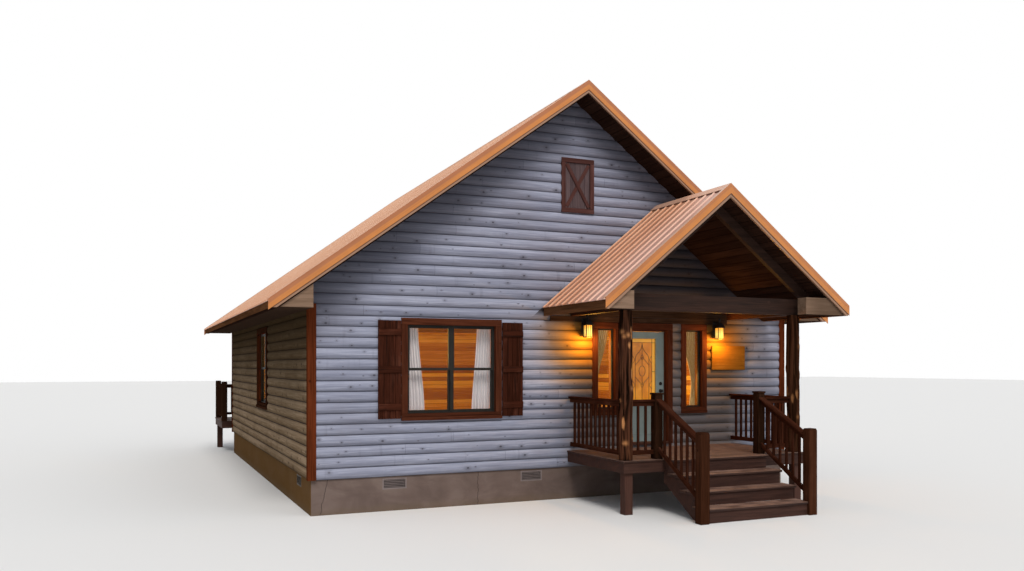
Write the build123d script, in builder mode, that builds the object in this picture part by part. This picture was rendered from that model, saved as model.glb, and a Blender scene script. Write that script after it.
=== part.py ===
from build123d import *
import os
from math import atan2, degrees, hypot, sin

# House body: a log-sided cabin with one gable facing -Y, +X to its right, +Z up.
# The origin is on the ground, under the middle of the front foundation wall.
house_width = 9200
house_length = 10668
stem_height = 550
stem_thickness = 200
stem_setback = 20

# Half-log siding on framed walls
course_height = 170
log_bulge = 26
siding_thickness = 50
frame_thickness = 100
wall_courses = 16
corner_width = 95
corner_proud = 32

# Floor and attic platforms
floor_top = 910
floor_board = 40
joist_width = 45
floor_rim = 76
joist_spacing = 610
attic_depth = 286

# Main roof
roof_pitch = 0.732
roof_depth = 166
eave_overhang = 690
rake_overhang = 500
soffit_z = 3180
soffit_board = 20
fascia_thickness = 25
fascia_drop = 12
drip = 22
barge_thickness = 38
barge_depth = 145

# Ribbed metal roofing
pan_thickness = 6
rib_height = 18
rib_base = 56
rib_top = 22
rib_spacing = 229
trim_face = 128
trim_gauge = 6
trim_lap = 70
cap_wing = 165

# Windows
window_sill = 1544
window_head = 2974
wide_window = 1526
wide_window_x = -2281
narrow_window = 350
left_sidelight_x = 617
right_window_x = 2490
side_window = 1190
side_window_y = 4880
rear_window_x = 3450
casing_width = 110
casing_proud = 42
sill_proud = 60
window_frame = 18
mullion = 38
sash_width = 32
meeting_rail = 44
fixed_frame = 28
sash_depth = 34
sash_inset = 14
glass_thickness = 8
shutter_width = 378
shutter_height = 1568
shutter_z = 1469
shutter_thickness = 26
batten_width = 105
batten_thickness = 20
batten_places = (0.12, 0.5, 0.88)
shutter_gap = 6

# Curtains behind the front windows
curtain_stand = 50
curtain_depth = 44
curtain_lap = 40
curtain_foot = 1500
rod_z = 3060
rod_radius = 9
rod_end = 30
soft_gap = 0.3
panel_top = 285
panel_foot = 390
drape_width = 345
drape_waist = 130
drape_foot = 300
waist_z = 1960

# Gable hatch
hatch_x = 40
hatch_z = 4984
hatch_width = 640
hatch_height = 948
hatch_frame = 78
hatch_inset = 10
brace_width = 62
brace_thickness = 20

# Front door, hung on its left edge and swinging indoors
door_x = 1429
door_width = 914
door_height = 2000
door_thickness = 45
door_face = 70
door_gap = 8
jamb_thickness = 32
threshold_top = 925
threshold_nose = 64
lite_width = 560
lite_height = 1210
lite_z = 1600
lite_frame = 34
lite_proud = 9
door_panel_foot = 1060
door_panel_head = 1490
door_panel_gap = 40
door_panel_proud = 5
knob_inset = 72
knob_z = 1850
deadbolt_z = 1985
knob_outline = ((0, 0), (33, 0), (33, 6), (12, 12), (12, 32), (29, 40), (29, 54), (20, 62), (0, 62))
deadbolt_outline = ((0, 0), (31, 0), (31, 10), (24, 16), (0, 16))
hinge_radius = 7
hinge_height = 100
hinge_leaf = 3
hinge_plate = 45
hinge_inset = 220
hinge_offset = 4
knuckle_gap = 0.3
knuckle_clearance = 0.5

# Wall lanterns and plaque
lantern_x = (172, 2973)
lantern_z = 2805
lantern_glass_size = 100
lantern_glass_height = 195
lantern_stand = 50
lantern_plate = 14
lantern_plate_width = 124
lantern_plate_low = 60
lantern_plate_high = 340
lantern_base = 16
lantern_bar = 14
lantern_eave = 13
lantern_crown = 70
lantern_crown_rise = 95
lantern_height = 400
lantern_finial = 40
lantern_arm = 26
plaque_x = 3268
plaque_z = 2233
plaque_width = 774
plaque_height = 453
plaque_thickness = 24

# Porch deck and stair
deck_left = -177
deck_right = 3430
deck_depth = 1892
deck_top = 840
deck_board = 28
deck_nose = 18
rim_depth = 165
rim_thickness = 38
deck_post = 140
deck_joists = 6
header_depth = 190
riser_count = 4
tread_run = 323
top_riser_y = -2121
tread_thickness = 38
tread_nose = 30
tread_gap = 5
riser_thickness = 19
stringer_width = 38
stringer_foot = 320
newel_size = 140
newel_left_x = 535
newel_right_x = 2565
newel_height = 1045
lower_newel_size = 157
lower_newel_y = -3065
lower_newel_height = 1340

# Railings
rail_height = 940
rail_cap_width = 110
rail_cap = 32
rail_width = 38
rail_depth = 70
rail_gap = 75
baluster = 36
baluster_spacing = 142
rail_inset = 82
stair_rail_head = 1787
stair_rail_foot = 1247
stair_bottom_head = 1030
stair_bottom_foot = 390

# Log posts, beams and porch roof
post_left_x = -43
post_right_x = 3296
post_y = -1870
post_foot_radius = 112
post_head_radius = 104
post_rings = 6
post_sway = 16
beam_bottom = 3180
beam_depth = 270
beam_width = 110
beam_end = 70
porch_ridge_x = 1657
porch_half_left = 2300
porch_half_right = 2500
porch_eave_z = 3311
porch_ridge_z = 5204
porch_front_y = -2290
porch_roof_depth = 150
chord_depth = 150
chord_width = 90
porch_box_left_x = -123
porch_box_right_x = 3240
porch_box_depth = 200
porch_box_top = 3460

# Rear deck and door
rear_deck_width = 3900
rear_deck_reach = 300
rear_deck_depth = 1830
rear_door_x = 2500

# Values worked out from the sizes above
left_x = -house_width / 2
right_x = house_width / 2
front_y = -(stem_thickness / 2 + stem_setback)
back_y = front_y + house_length
wall_thickness = siding_thickness + frame_thickness
wall_top = stem_height + wall_courses * course_height
attic_top = wall_top + attic_depth
log_face = front_y - log_bulge

front_plane = Plane(origin=(0, front_y, 0), x_dir=(1, 0, 0), z_dir=(0, -1, 0))
back_plane = Plane(origin=(0, back_y, 0), x_dir=(-1, 0, 0), z_dir=(0, 1, 0))
left_plane = Plane(origin=(left_x, 0, 0), x_dir=(0, -1, 0), z_dir=(-1, 0, 0))
right_plane = Plane(origin=(right_x, 0, 0), x_dir=(0, 1, 0), z_dir=(1, 0, 0))


# Shapes shared by several pieces
def block(x, y, z, mode=Mode.ADD):
    """A squared timber between low and high values on each axis."""
    with Locations(((x[0] + x[1]) / 2, (y[0] + y[1]) / 2, (z[0] + z[1]) / 2)):
        Box(x[1] - x[0], y[1] - y[0], z[1] - z[0], mode=mode)


def board(plane, across, up, depth, mode=Mode.ADD):
    """A board on a wall plane: spans across and up, and from one depth out to another."""
    with BuildSketch(plane.offset(depth[0])) as face:
        with Locations(((across[0] + across[1]) / 2, (up[0] + up[1]) / 2)):
            Rectangle(across[1] - across[0], up[1] - up[0])
    extrude(face.sketch, amount=depth[1] - depth[0], mode=mode)


def prism(plane, points, length, mode=Mode.ADD):
    """A straight-edged outline on a plane, drawn out along the plane's normal."""
    with BuildSketch(plane) as outline:
        with BuildLine():
            Polyline(*points, close=True)
        make_face()
    extrude(outline.sketch, amount=length, mode=mode)


def gable_prism(points, y0, y1, mode=Mode.ADD):
    """An outline in X and Z, drawn out from y0 back to y1."""
    prism(Plane.XZ.offset(-y1), points, y1 - y0, mode)


def side_prism(points, x0, x1, mode=Mode.ADD):
    """An outline in Y and Z, drawn out from x0 to x1."""
    prism(Plane.YZ.offset(x0), points, x1 - x0, mode)


def log_wall(plane, length, bottom, courses, foot):
    """A run of half-log wall. The plane's x points indoors, and framing, if any, starts at foot."""
    top = bottom + courses * course_height
    with BuildSketch(plane) as section:
        with BuildLine():
            for n in range(courses):
                low = bottom + n * course_height
                ThreePointArc(
                    (0, low),
                    (-log_bulge, low + course_height / 2),
                    (0, low + course_height),
                )
            if foot is None:
                Polyline((0, top), (siding_thickness, top), (siding_thickness, bottom), (0, bottom))
            else:
                Polyline((0, top), (wall_thickness, top), (wall_thickness, foot),
                         (siding_thickness, foot), (siding_thickness, bottom), (0, bottom))
        make_face()
    extrude(section.sketch, amount=length)


def front_run(x0, x1, bottom=stem_height, courses=wall_courses, foot=floor_top):
    """A stretch of the front wall."""
    log_wall(Plane(origin=(x0, front_y, 0), x_dir=(0, 1, 0), z_dir=(1, 0, 0)), x1 - x0, bottom, courses, foot)


def back_run(x0, x1, bottom=stem_height, courses=wall_courses, foot=floor_top):
    """A stretch of the back wall."""
    log_wall(Plane(origin=(x1, back_y, 0), x_dir=(0, -1, 0), z_dir=(-1, 0, 0)), x1 - x0, bottom, courses, foot)


def window_hole(plane, centre, width):
    """Cuts the opening and the pocket that its casing sits in."""
    half = width / 2
    board(plane, (centre - half, centre + half), (window_sill, window_head),
          (-wall_thickness, log_bulge), Mode.SUBTRACT)
    outer = half + casing_width
    board(plane, (centre - outer, centre + outer), (window_sill - casing_width, window_head + casing_width),
          (-siding_thickness, log_bulge), Mode.SUBTRACT)


def casing(plane, centre, width):
    """The flat trim round a window, with a deeper sill."""
    half = width / 2
    outer = half + casing_width
    board(plane, (centre - outer, centre + outer), (window_sill - casing_width, window_head + casing_width),
          (-siding_thickness, casing_proud))
    board(plane, (centre - half, centre + half), (window_sill, window_head),
          (-siding_thickness, casing_proud), Mode.SUBTRACT)
    board(plane, (centre - outer, centre + outer), (window_sill - casing_width, window_sill - casing_width / 2),
          (casing_proud, sill_proud))


def window_units(centre, width, units):
    """The clear spans of a window's sash pairs, left to right."""
    inner = width - 2 * window_frame
    each = (inner - (units - 1) * mullion) / units
    left = centre - width / 2 + window_frame
    return [(left + n * (each + mullion), left + n * (each + mullion) + each) for n in range(units)]


window_low = window_sill + window_frame
window_high = window_head - window_frame
meeting_z = (window_low + window_high) / 2
upper_depth = (-siding_thickness + sash_inset - sash_depth, -siding_thickness + sash_inset)
lower_depth = (upper_depth[0] - sash_depth, upper_depth[0])
pane_inset = (sash_depth - glass_thickness) / 2
upper_pane = (meeting_z + meeting_rail / 2, window_high - sash_width)
lower_pane = (window_low + sash_width, meeting_z - meeting_rail / 2)
fixed_pane = (window_sill + fixed_frame, window_head - fixed_frame)


def sash_window(plane, centre, width, units):
    """A frame with an upper sash outside and a lower sash behind it in each unit."""
    half = width / 2
    board(plane, (centre - half, centre + half), (window_sill, window_head), (-wall_thickness, upper_depth[1]))
    for x0, x1 in window_units(centre, width, units):
        board(plane, (x0, x1), (window_low, window_high), (-wall_thickness, upper_depth[1]), Mode.SUBTRACT)
        upper = (meeting_z - meeting_rail / 2, window_high)
        lower = (window_low, meeting_z + meeting_rail / 2)
        for span, hole, depth in ((upper, upper_pane, upper_depth), (lower, lower_pane, lower_depth)):
            board(plane, (x0, x1), span, depth)
            board(plane, (x0 + sash_width, x1 - sash_width), hole, depth, Mode.SUBTRACT)


def panes(plane, centre, width, units):
    """The glass of one window, let in between its sash bars."""
    for x0, x1 in window_units(centre, width, units):
        across = (x0 + sash_width, x1 - sash_width)
        for span, depth in ((upper_pane, upper_depth), (lower_pane, lower_depth)):
            board(plane, across, span, (depth[0] + pane_inset, depth[1] - pane_inset))


def fixed_window(plane, centre, width):
    """A frame with one fixed light."""
    half, clear = width / 2, width / 2 - fixed_frame
    board(plane, (centre - half, centre + half), (window_sill, window_head), (-wall_thickness, upper_depth[1]))
    board(plane, (centre - clear, centre + clear), fixed_pane, (-wall_thickness, upper_depth[1]), Mode.SUBTRACT)


def fixed_light(plane, centre, width):
    """The glass of a fixed window."""
    clear = width / 2 - fixed_frame
    board(plane, (centre - clear, centre + clear), fixed_pane,
          (upper_depth[0] + pane_inset, upper_depth[1] - pane_inset))


sash_windows = (
    (front_plane, wide_window_x, wide_window, 2),
    (left_plane, -side_window_y, side_window, 2),
    (right_plane, side_window_y, side_window, 2),
    (back_plane, -rear_window_x, side_window, 2),
)
fixed_windows = (
    (front_plane, right_window_x, narrow_window),
    (front_plane, left_sidelight_x, narrow_window),
)


def save(part, name):
    """Labels a piece and writes its file."""
    part.label = name
    export_step(part, f"parts/{name}.step")


os.makedirs("parts", exist_ok=True)

# Foundation: four stem walls, set in from the siding, with vent pockets in the front and left walls
vent_width = 400
vent_height = 175
vent_depth = 60
vent_top = stem_height - 30
front_vents = (-3249, -836)
left_vent_y = 900
stem_front = front_y + stem_setback
stem_back = back_y - stem_setback
stem_left = left_x + stem_setback
stem_right = right_x - stem_setback

front_stem_plane = front_plane.offset(-stem_setback)
left_stem_plane = left_plane.offset(-stem_setback)

with BuildPart() as foundation_ends:
    block((stem_left, stem_right), (stem_front, stem_front + stem_thickness), (0, stem_height))
    block((stem_left, stem_right), (stem_back - stem_thickness, stem_back), (0, stem_height))
    for x in front_vents:
        board(front_stem_plane, (x - vent_width / 2, x + vent_width / 2),
              (vent_top - vent_height, vent_top), (-vent_depth, 0), Mode.SUBTRACT)
save(foundation_ends.part, "foundation_ends")

with BuildPart() as foundation_sides:
    for x in (stem_left, stem_right - stem_thickness):
        block((x, x + stem_thickness), (stem_front + stem_thickness, stem_back - stem_thickness),
              (0, stem_height))
    board(left_stem_plane, (-left_vent_y - vent_width / 2, -left_vent_y + vent_width / 2),
          (vent_top - vent_height, vent_top), (-vent_depth, 0), Mode.SUBTRACT)
save(foundation_sides.part, "foundation_sides")

vent_frame = 22
vent_slats = 5


def vent(plane, centre):
    """A framed grille of level slats, let into its pocket."""
    across = (centre - vent_width / 2, centre + vent_width / 2)
    board(plane, across, (vent_top - vent_height, vent_top), (-vent_depth, 0))
    inner = (across[0] + vent_frame, across[1] - vent_frame)
    clear = vent_height - 2 * vent_frame
    board(plane, inner, (vent_top - vent_height + vent_frame, vent_top - vent_frame),
          (-vent_depth + vent_frame, 0), Mode.SUBTRACT)
    for n in range(vent_slats):
        low = vent_top - vent_height + vent_frame + clear * (n + 0.35) / vent_slats
        board(plane, inner, (low, low + clear * 0.3 / vent_slats), (-vent_depth + vent_frame, -vent_frame / 3))


with BuildPart() as foundation_vents:
    for x in front_vents:
        vent(front_stem_plane, x)
    vent(left_stem_plane, -left_vent_y)
save(foundation_vents.part, "foundation_vents")

# Floor platform: boards on joists with a rim, resting on the stem walls inside the siding
inner_x = house_width / 2 - siding_thickness
floor_front = front_y + siding_thickness
floor_back = back_y - siding_thickness
bay_run = floor_back - floor_front - 2 * floor_rim + joist_width
bay_count = int(bay_run // joist_spacing)
bay = bay_run / bay_count

with BuildPart() as floor:
    block((-inner_x, inner_x), (floor_front, floor_back), (stem_height, floor_top))
    for n in range(bay_count):
        low = floor_front + floor_rim + n * bay
        for side in (-1, 1):
            edges = sorted((side * joist_width / 2, side * (inner_x - floor_rim)))
            block(edges, (low, low + bay - joist_width), (stem_height, floor_top - floor_board), Mode.SUBTRACT)
    for x in (left_x, right_x):
        for y in (front_y, back_y):
            block((x - corner_width, x + corner_width), (y - corner_width, y + corner_width),
                  (stem_height, floor_top), Mode.SUBTRACT)
save(floor.part, "floor")

# Door opening in the front wall
door_clear = door_width / 2 + door_gap
opening_half = door_clear + jamb_thickness
opening_left = door_x - opening_half
opening_right = door_x + opening_half
door_bottom = threshold_top + door_gap
door_top = door_bottom + door_height
head_z = window_head
casing_reveal = 8
casing_inner = door_clear + casing_reveal
casing_outer = casing_inner + casing_width
casing_top = head_z + casing_width
sill_courses = 2
sill_z = stem_height + sill_courses * course_height

# Front wall in four pieces round the doorway
wall_end = house_width / 2 - corner_width

with BuildPart() as front_wall_left:
    front_run(-wall_end, opening_left)
    window_hole(front_plane, wide_window_x, wide_window)
    window_hole(front_plane, left_sidelight_x, narrow_window)
    board(front_plane, (door_x - casing_outer, opening_left), (sill_z, casing_top),
          (-siding_thickness, log_bulge), Mode.SUBTRACT)
save(front_wall_left.part, "front_wall_left")

with BuildPart() as front_wall_right:
    front_run(opening_right, wall_end)
    window_hole(front_plane, right_window_x, narrow_window)
    board(front_plane, (opening_right, door_x + casing_outer), (sill_z, casing_top),
          (-siding_thickness, log_bulge), Mode.SUBTRACT)
save(front_wall_right.part, "front_wall_right")

with BuildPart() as front_wall_over_door:
    front_run(opening_left, opening_right)
    block((opening_left, opening_right), (log_face, front_y + wall_thickness), (stem_height, head_z),
          Mode.SUBTRACT)
    board(front_plane, (opening_left, opening_right), (head_z, casing_top),
          (-siding_thickness, log_bulge), Mode.SUBTRACT)
save(front_wall_over_door.part, "front_wall_over_door")

with BuildPart() as front_wall_under_door:
    front_run(opening_left, opening_right, stem_height, sill_courses, None)
save(front_wall_under_door.part, "front_wall_under_door")

# Back wall, with a window and a doorway onto the rear deck
rear_half = door_width / 2 + jamb_thickness

with BuildPart() as back_wall:
    back_run(-wall_end, wall_end)
    window_hole(back_plane, -rear_window_x, side_window)
    board(back_plane, (rear_door_x - rear_half, rear_door_x + rear_half), (sill_z, head_z),
          (-wall_thickness, log_bulge), Mode.SUBTRACT)
    rear_outer = rear_half + casing_width
    board(back_plane, (rear_door_x - rear_outer, rear_door_x + rear_outer), (sill_z, casing_top),
          (-siding_thickness, log_bulge), Mode.SUBTRACT)
save(back_wall.part, "back_wall")


# Side walls
with BuildPart() as left_wall:
    log_wall(Plane(origin=(left_x, back_y - corner_width, 0), x_dir=(1, 0, 0), z_dir=(0, -1, 0)),
             house_length - 2 * corner_width, stem_height, wall_courses, floor_top)
    for y0, y1 in ((front_y, front_y + wall_thickness), (back_y - wall_thickness, back_y)):
        block((left_x + corner_width, left_x + wall_thickness), (y0, y1), (stem_height, wall_top),
              Mode.SUBTRACT)
    window_hole(left_plane, -side_window_y, side_window)
save(left_wall.part, "left_wall")

with BuildPart() as right_wall:
    log_wall(Plane(origin=(right_x, front_y + corner_width, 0), x_dir=(-1, 0, 0), z_dir=(0, 1, 0)),
             house_length - 2 * corner_width, stem_height, wall_courses, floor_top)
    for y0, y1 in ((front_y, front_y + wall_thickness), (back_y - wall_thickness, back_y)):
        block((right_x - wall_thickness, right_x - corner_width), (y0, y1), (stem_height, wall_top),
              Mode.SUBTRACT)
    window_hole(right_plane, side_window_y, side_window)
save(right_wall.part, "right_wall")

# Corner boards, standing a little proud of the logs
with BuildPart() as corner_boards:
    for side in (-1, 1):
        x = sorted((side * (house_width / 2 + corner_proud), side * (house_width / 2 - corner_width)))
        block(x, (front_y - corner_proud, front_y + corner_width), (stem_height, wall_top))
        block(x, (back_y - corner_width, back_y + corner_proud), (stem_height, wall_top))
save(corner_boards.part, "corner_boards")

# Attic platform, bearing on all four walls between the gables' siding
with BuildPart() as attic_floor:
    block((left_x, right_x), (floor_front, floor_back), (wall_top, attic_top))
save(attic_floor.part, "attic_floor")


def under_roof(x):
    """Height of the main roof's underside."""
    return attic_top + roof_pitch * (house_width / 2 - abs(x))


# Main roof heights
roof_slope = hypot(1, roof_pitch)
deck_rise = roof_depth * roof_slope
eave_x = house_width / 2 + eave_overhang
slab_x = eave_x - drip - fascia_thickness
soffit_x = house_width / 2 + (attic_top - soffit_z) / roof_pitch
roof_front = front_y - rake_overhang
roof_back = back_y + rake_overhang
gable_courses = int((under_roof(0) - wall_top) // course_height) + 1

# Gables: the logs carry on up to the roof
sky = under_roof(0) + 2 * course_height


def gable_trim(y0, y1):
    """Cuts a gable wall back to the roof's two slopes."""
    for side in (-1, 1):
        edge = side * house_width / 2
        gable_prism([(0, under_roof(0)), (edge, attic_top), (edge, sky), (0, sky)], y0, y1, Mode.SUBTRACT)


with BuildPart() as front_gable:
    front_run(left_x, right_x, wall_top, gable_courses, attic_top)
    gable_trim(log_face, front_y + wall_thickness)
    half = hatch_width / 2
    board(front_plane, (hatch_x - half, hatch_x + half), (hatch_z, hatch_z + hatch_height),
          (-siding_thickness, log_bulge), Mode.SUBTRACT)
save(front_gable.part, "front_gable")

with BuildPart() as back_gable:
    back_run(left_x, right_x, wall_top, gable_courses, attic_top)
    gable_trim(back_y - wall_thickness, back_y + log_bulge)
save(back_gable.part, "back_gable")

# Gable hatch: a framed board panel with a cross brace
with BuildPart() as gable_hatch:
    low, high = hatch_z, hatch_z + hatch_height
    board(front_plane, (hatch_x - half, hatch_x + half), (low, high), (-siding_thickness, casing_proud))
    inner = half - hatch_frame
    board(front_plane, (hatch_x - inner, hatch_x + inner), (low + hatch_frame, high - hatch_frame),
          (log_bulge - hatch_inset, casing_proud), Mode.SUBTRACT)
    clear_height = hatch_height - 2 * hatch_frame
    tilt = degrees(atan2(clear_height, 2 * inner))
    with BuildSketch(front_plane.offset(log_bulge - hatch_inset)) as brace:
        with Locations((hatch_x, (low + high) / 2)):
            Rectangle(hypot(2 * inner, clear_height), brace_width, rotation=tilt)
            Rectangle(hypot(2 * inner, clear_height), brace_width, rotation=-tilt)
            Rectangle(2 * inner, clear_height, mode=Mode.INTERSECT)
    extrude(brace.sketch, amount=brace_thickness)
save(gable_hatch.part, "gable_hatch")

# Main roof slabs, with the tails cut level at the soffit
with BuildPart() as roof_left:
    gable_prism([(0, under_roof(0)), (-soffit_x, soffit_z), (-slab_x, soffit_z),
                 (-slab_x, under_roof(slab_x) + deck_rise), (0, under_roof(0) + deck_rise)],
                roof_front + barge_thickness, roof_back - barge_thickness)
save(roof_left.part, "roof_left")

with BuildPart() as roof_right:
    gable_prism([(0, under_roof(0)), (soffit_x, soffit_z), (slab_x, soffit_z),
                 (slab_x, under_roof(slab_x) + deck_rise), (0, under_roof(0) + deck_rise)],
                roof_front + barge_thickness, roof_back - barge_thickness)
save(roof_right.part, "roof_right")


def ribbed_sheet(ridge, side, pitch, run, y0, y1):
    """Metal roofing on one slope: ribs from ridge to eave, set out from the middle of its width."""
    slope = hypot(1, pitch)
    normal = Vector(side * pitch / slope, 0, 1 / slope)
    down = Vector(side / slope, 0, -pitch / slope)
    middle = (y0 + y1) / 2
    plane = Plane(origin=(ridge[0], middle, ridge[1]), x_dir=(0, -side, 0), z_dir=down)
    span = y1 - y0
    ribs = int((span - rib_base) // rib_spacing) + 1
    points = [(-span / 2, 0), (-span / 2, pan_thickness)]
    for n in range(ribs):
        centre = (n - (ribs - 1) / 2) * rib_spacing
        points += [(centre - rib_base / 2, pan_thickness), (centre - rib_top / 2, pan_thickness + rib_height),
                   (centre + rib_top / 2, pan_thickness + rib_height), (centre + rib_base / 2, pan_thickness)]
    points += [(span / 2, pan_thickness), (span / 2, 0)]
    sign = 1 if plane.y_dir.dot(normal) > 0 else -1
    prism(plane, [(a, sign * b) for a, b in points], run * slope)


main_ridge = (0, under_roof(0) + deck_rise)


def ridge_cap(ridge, pitches, y0, y1):
    """A folded cap over the ribs, with one wing down each slope."""
    low, high = [], []
    for side in (-1, 1):
        pitch = pitches[(side + 1) // 2]
        slope = hypot(1, pitch)
        lift = (pan_thickness + rib_height) * slope
        reach = cap_wing / slope
        low.append((ridge[0] + side * reach, ridge[1] + lift - pitch * reach))
        high.append((ridge[0] + side * reach, ridge[1] + lift - pitch * reach + trim_gauge * slope))
    top = max((pan_thickness + rib_height) * hypot(1, pitch) for pitch in pitches)
    gauge = trim_gauge * max(hypot(1, pitch) for pitch in pitches)
    gable_prism([low[0], (ridge[0], ridge[1] + top), low[1],
                 high[1], (ridge[0], ridge[1] + top + gauge), high[0]], y0, y1)


# Porch roof heights
porch_rise = porch_ridge_z - porch_eave_z
porch_pitches = (porch_rise / porch_half_left, porch_rise / porch_half_right)
porch_halves = (porch_half_left, porch_half_right)


def porch_slope(side):
    return hypot(1, porch_pitches[(side + 1) // 2])


porch_ridge = (porch_ridge_x, porch_ridge_z - pan_thickness * max(porch_slope(-1), porch_slope(1)))


def porch_top(x):
    """Height of the porch roof's timber top at x."""
    side = 1 if x > porch_ridge_x else -1
    return porch_ridge[1] - porch_pitches[(side + 1) // 2] * abs(x - porch_ridge_x)


with BuildPart() as ridge_caps:
    ridge_cap(main_ridge, (roof_pitch, roof_pitch), roof_front + trim_lap, roof_back - trim_lap)
    ridge_cap(porch_ridge, porch_pitches, porch_front_y + trim_lap, log_face)
save(ridge_caps.part, "ridge_caps")


def bargeboard(ridge, side, pitch, reach, level, y0, y1):
    """The board that closes a roof's raking end, its tail cut plumb in front and level below."""
    under = ridge[1] - barge_depth * hypot(1, pitch)
    foot_x = ridge[0] + side * reach
    tail_x = ridge[0] + side * (under - level) / pitch
    gable_prism([(ridge[0], ridge[1]), (foot_x, ridge[1] - pitch * reach), (foot_x, level),
                 (tail_x, level), (ridge[0], under)], y0, y1)


for side, name in ((-1, "bargeboards_left"), (1, "bargeboards_right")):
    with BuildPart() as bargeboards:
        for y in (roof_front, roof_back - barge_thickness):
            bargeboard(main_ridge, side, roof_pitch, eave_x - drip, soffit_z - fascia_drop,
                       y, y + barge_thickness)
        bargeboard(porch_ridge, side, porch_pitches[(side + 1) // 2], porch_halves[(side + 1) // 2] - drip,
                   beam_bottom - fascia_drop, porch_front_y, porch_front_y + barge_thickness)
    save(bargeboards.part, name)


def rake_trim(ridge, halves, pitches, y_face, outward):
    """Folded metal over a raking edge: a flange on top of the ribs and a face down the board."""
    lift, gauge = pan_thickness + rib_height, trim_gauge
    for start, stop, y0, y1 in (
        (lift, lift + gauge, y_face - outward * trim_lap, y_face + outward * gauge),
        (lift - trim_face, lift + gauge, y_face, y_face + outward * gauge),
    ):
        points = []
        for level, order in ((start, (-1, 0, 1)), (stop, (1, 0, -1))):
            for side in order:
                pitch = pitches[0] if side < 0 else pitches[1]
                half = halves[0] if side < 0 else halves[1]
                slope = max(hypot(1, p) for p in pitches) if side == 0 else hypot(1, pitch)
                points.append((ridge[0] + side * half, ridge[1] + level * slope - abs(side) * pitch * half))
        gable_prism(points, min(y0, y1), max(y0, y1))


with BuildPart() as rake_trims:
    rake_trim(main_ridge, (eave_x, eave_x), (roof_pitch, roof_pitch), roof_front, -1)
    rake_trim(main_ridge, (eave_x, eave_x), (roof_pitch, roof_pitch), roof_back, 1)
    rake_trim(porch_ridge, porch_halves, porch_pitches, porch_front_y, -1)
save(rake_trims.part, "rake_trims")


def eave_box(wall_x, tip_x, wall_z, y0, y1, end_front, end_back):
    """A level soffit with closed triangular ends, hung between a wall and the slope above it."""
    side = 1 if tip_x > wall_x else -1
    rise = (wall_z - soffit_z) / abs(tip_x - wall_x)
    gable_prism([(wall_x, soffit_z), (tip_x, soffit_z), (wall_x, wall_z)], y0, y1)
    inner_tip = tip_x - side * soffit_board / rise
    gable_prism([(wall_x, soffit_z + soffit_board), (inner_tip, soffit_z + soffit_board), (wall_x, wall_z)],
                end_front, end_back, Mode.SUBTRACT)


# Fascia boards along the main eaves and the porch eaves
with BuildPart() as fascias:
    for side in (-1, 1):
        outer = under_roof(slab_x + fascia_thickness) + deck_rise
        inner = under_roof(slab_x) + deck_rise
        gable_prism([(side * slab_x, soffit_z - fascia_drop),
                     (side * (slab_x + fascia_thickness), soffit_z - fascia_drop),
                     (side * (slab_x + fascia_thickness), outer), (side * slab_x, inner)],
                    roof_front + barge_thickness, roof_back - barge_thickness)
        edge = porch_halves[(side + 1) // 2] - drip
        x0, x1 = porch_ridge_x + side * (edge - fascia_thickness), porch_ridge_x + side * edge
        gable_prism([(x0, beam_bottom - fascia_drop), (x1, beam_bottom - fascia_drop),
                     (x1, porch_top(x1)), (x0, porch_top(x0))], porch_front_y + barge_thickness, log_face)
save(fascias.part, "fascias")

# Window casings, sashes and glass. The sidelight's casing belongs to the door's.
with BuildPart() as window_casings:
    for plane, centre, width, units in sash_windows:
        casing(plane, centre, width)
    casing(front_plane, right_window_x, narrow_window)
save(window_casings.part, "window_casings")

with BuildPart() as window_sashes:
    for plane, centre, width, units in sash_windows:
        sash_window(plane, centre, width, units)
    for plane, centre, width in fixed_windows:
        fixed_window(plane, centre, width)
save(window_sashes.part, "window_sashes")

with BuildPart() as window_glass:
    for plane, centre, width, units in sash_windows:
        panes(plane, centre, width, units)
    for plane, centre, width in fixed_windows:
        fixed_light(plane, centre, width)
save(window_glass.part, "window_glass")

# Curtains indoors behind the front windows, hanging from rods on brackets
curtain_y = front_y + wall_thickness + curtain_stand
curtain_top = rod_z - rod_radius - soft_gap
wide_left = wide_window_x - wide_window / 2 - curtain_lap
wide_right = wide_window_x + wide_window / 2 + curtain_lap
side_left = left_sidelight_x - narrow_window / 2
right_left = right_window_x - narrow_window / 2
right_right = right_window_x + narrow_window / 2

with BuildPart() as curtain_rods:
    for x0, x1 in ((wide_left, wide_right), (side_left, side_left + narrow_window), (right_left, right_right)):
        rod_plane = Plane(origin=(x0 - rod_end, curtain_y, rod_z), x_dir=(0, 1, 0), z_dir=(1, 0, 0))
        with BuildSketch(rod_plane) as rod:
            Circle(rod_radius)
        extrude(rod.sketch, amount=x1 - x0 + 2 * rod_end)
        for x in (x0 - rod_end / 2, x1 + rod_end / 2):
            block((x - rod_radius, x + rod_radius), (front_y + wall_thickness, curtain_y),
                  (rod_z - rod_radius, rod_z))
save(curtain_rods.part, "curtain_rods")

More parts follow.
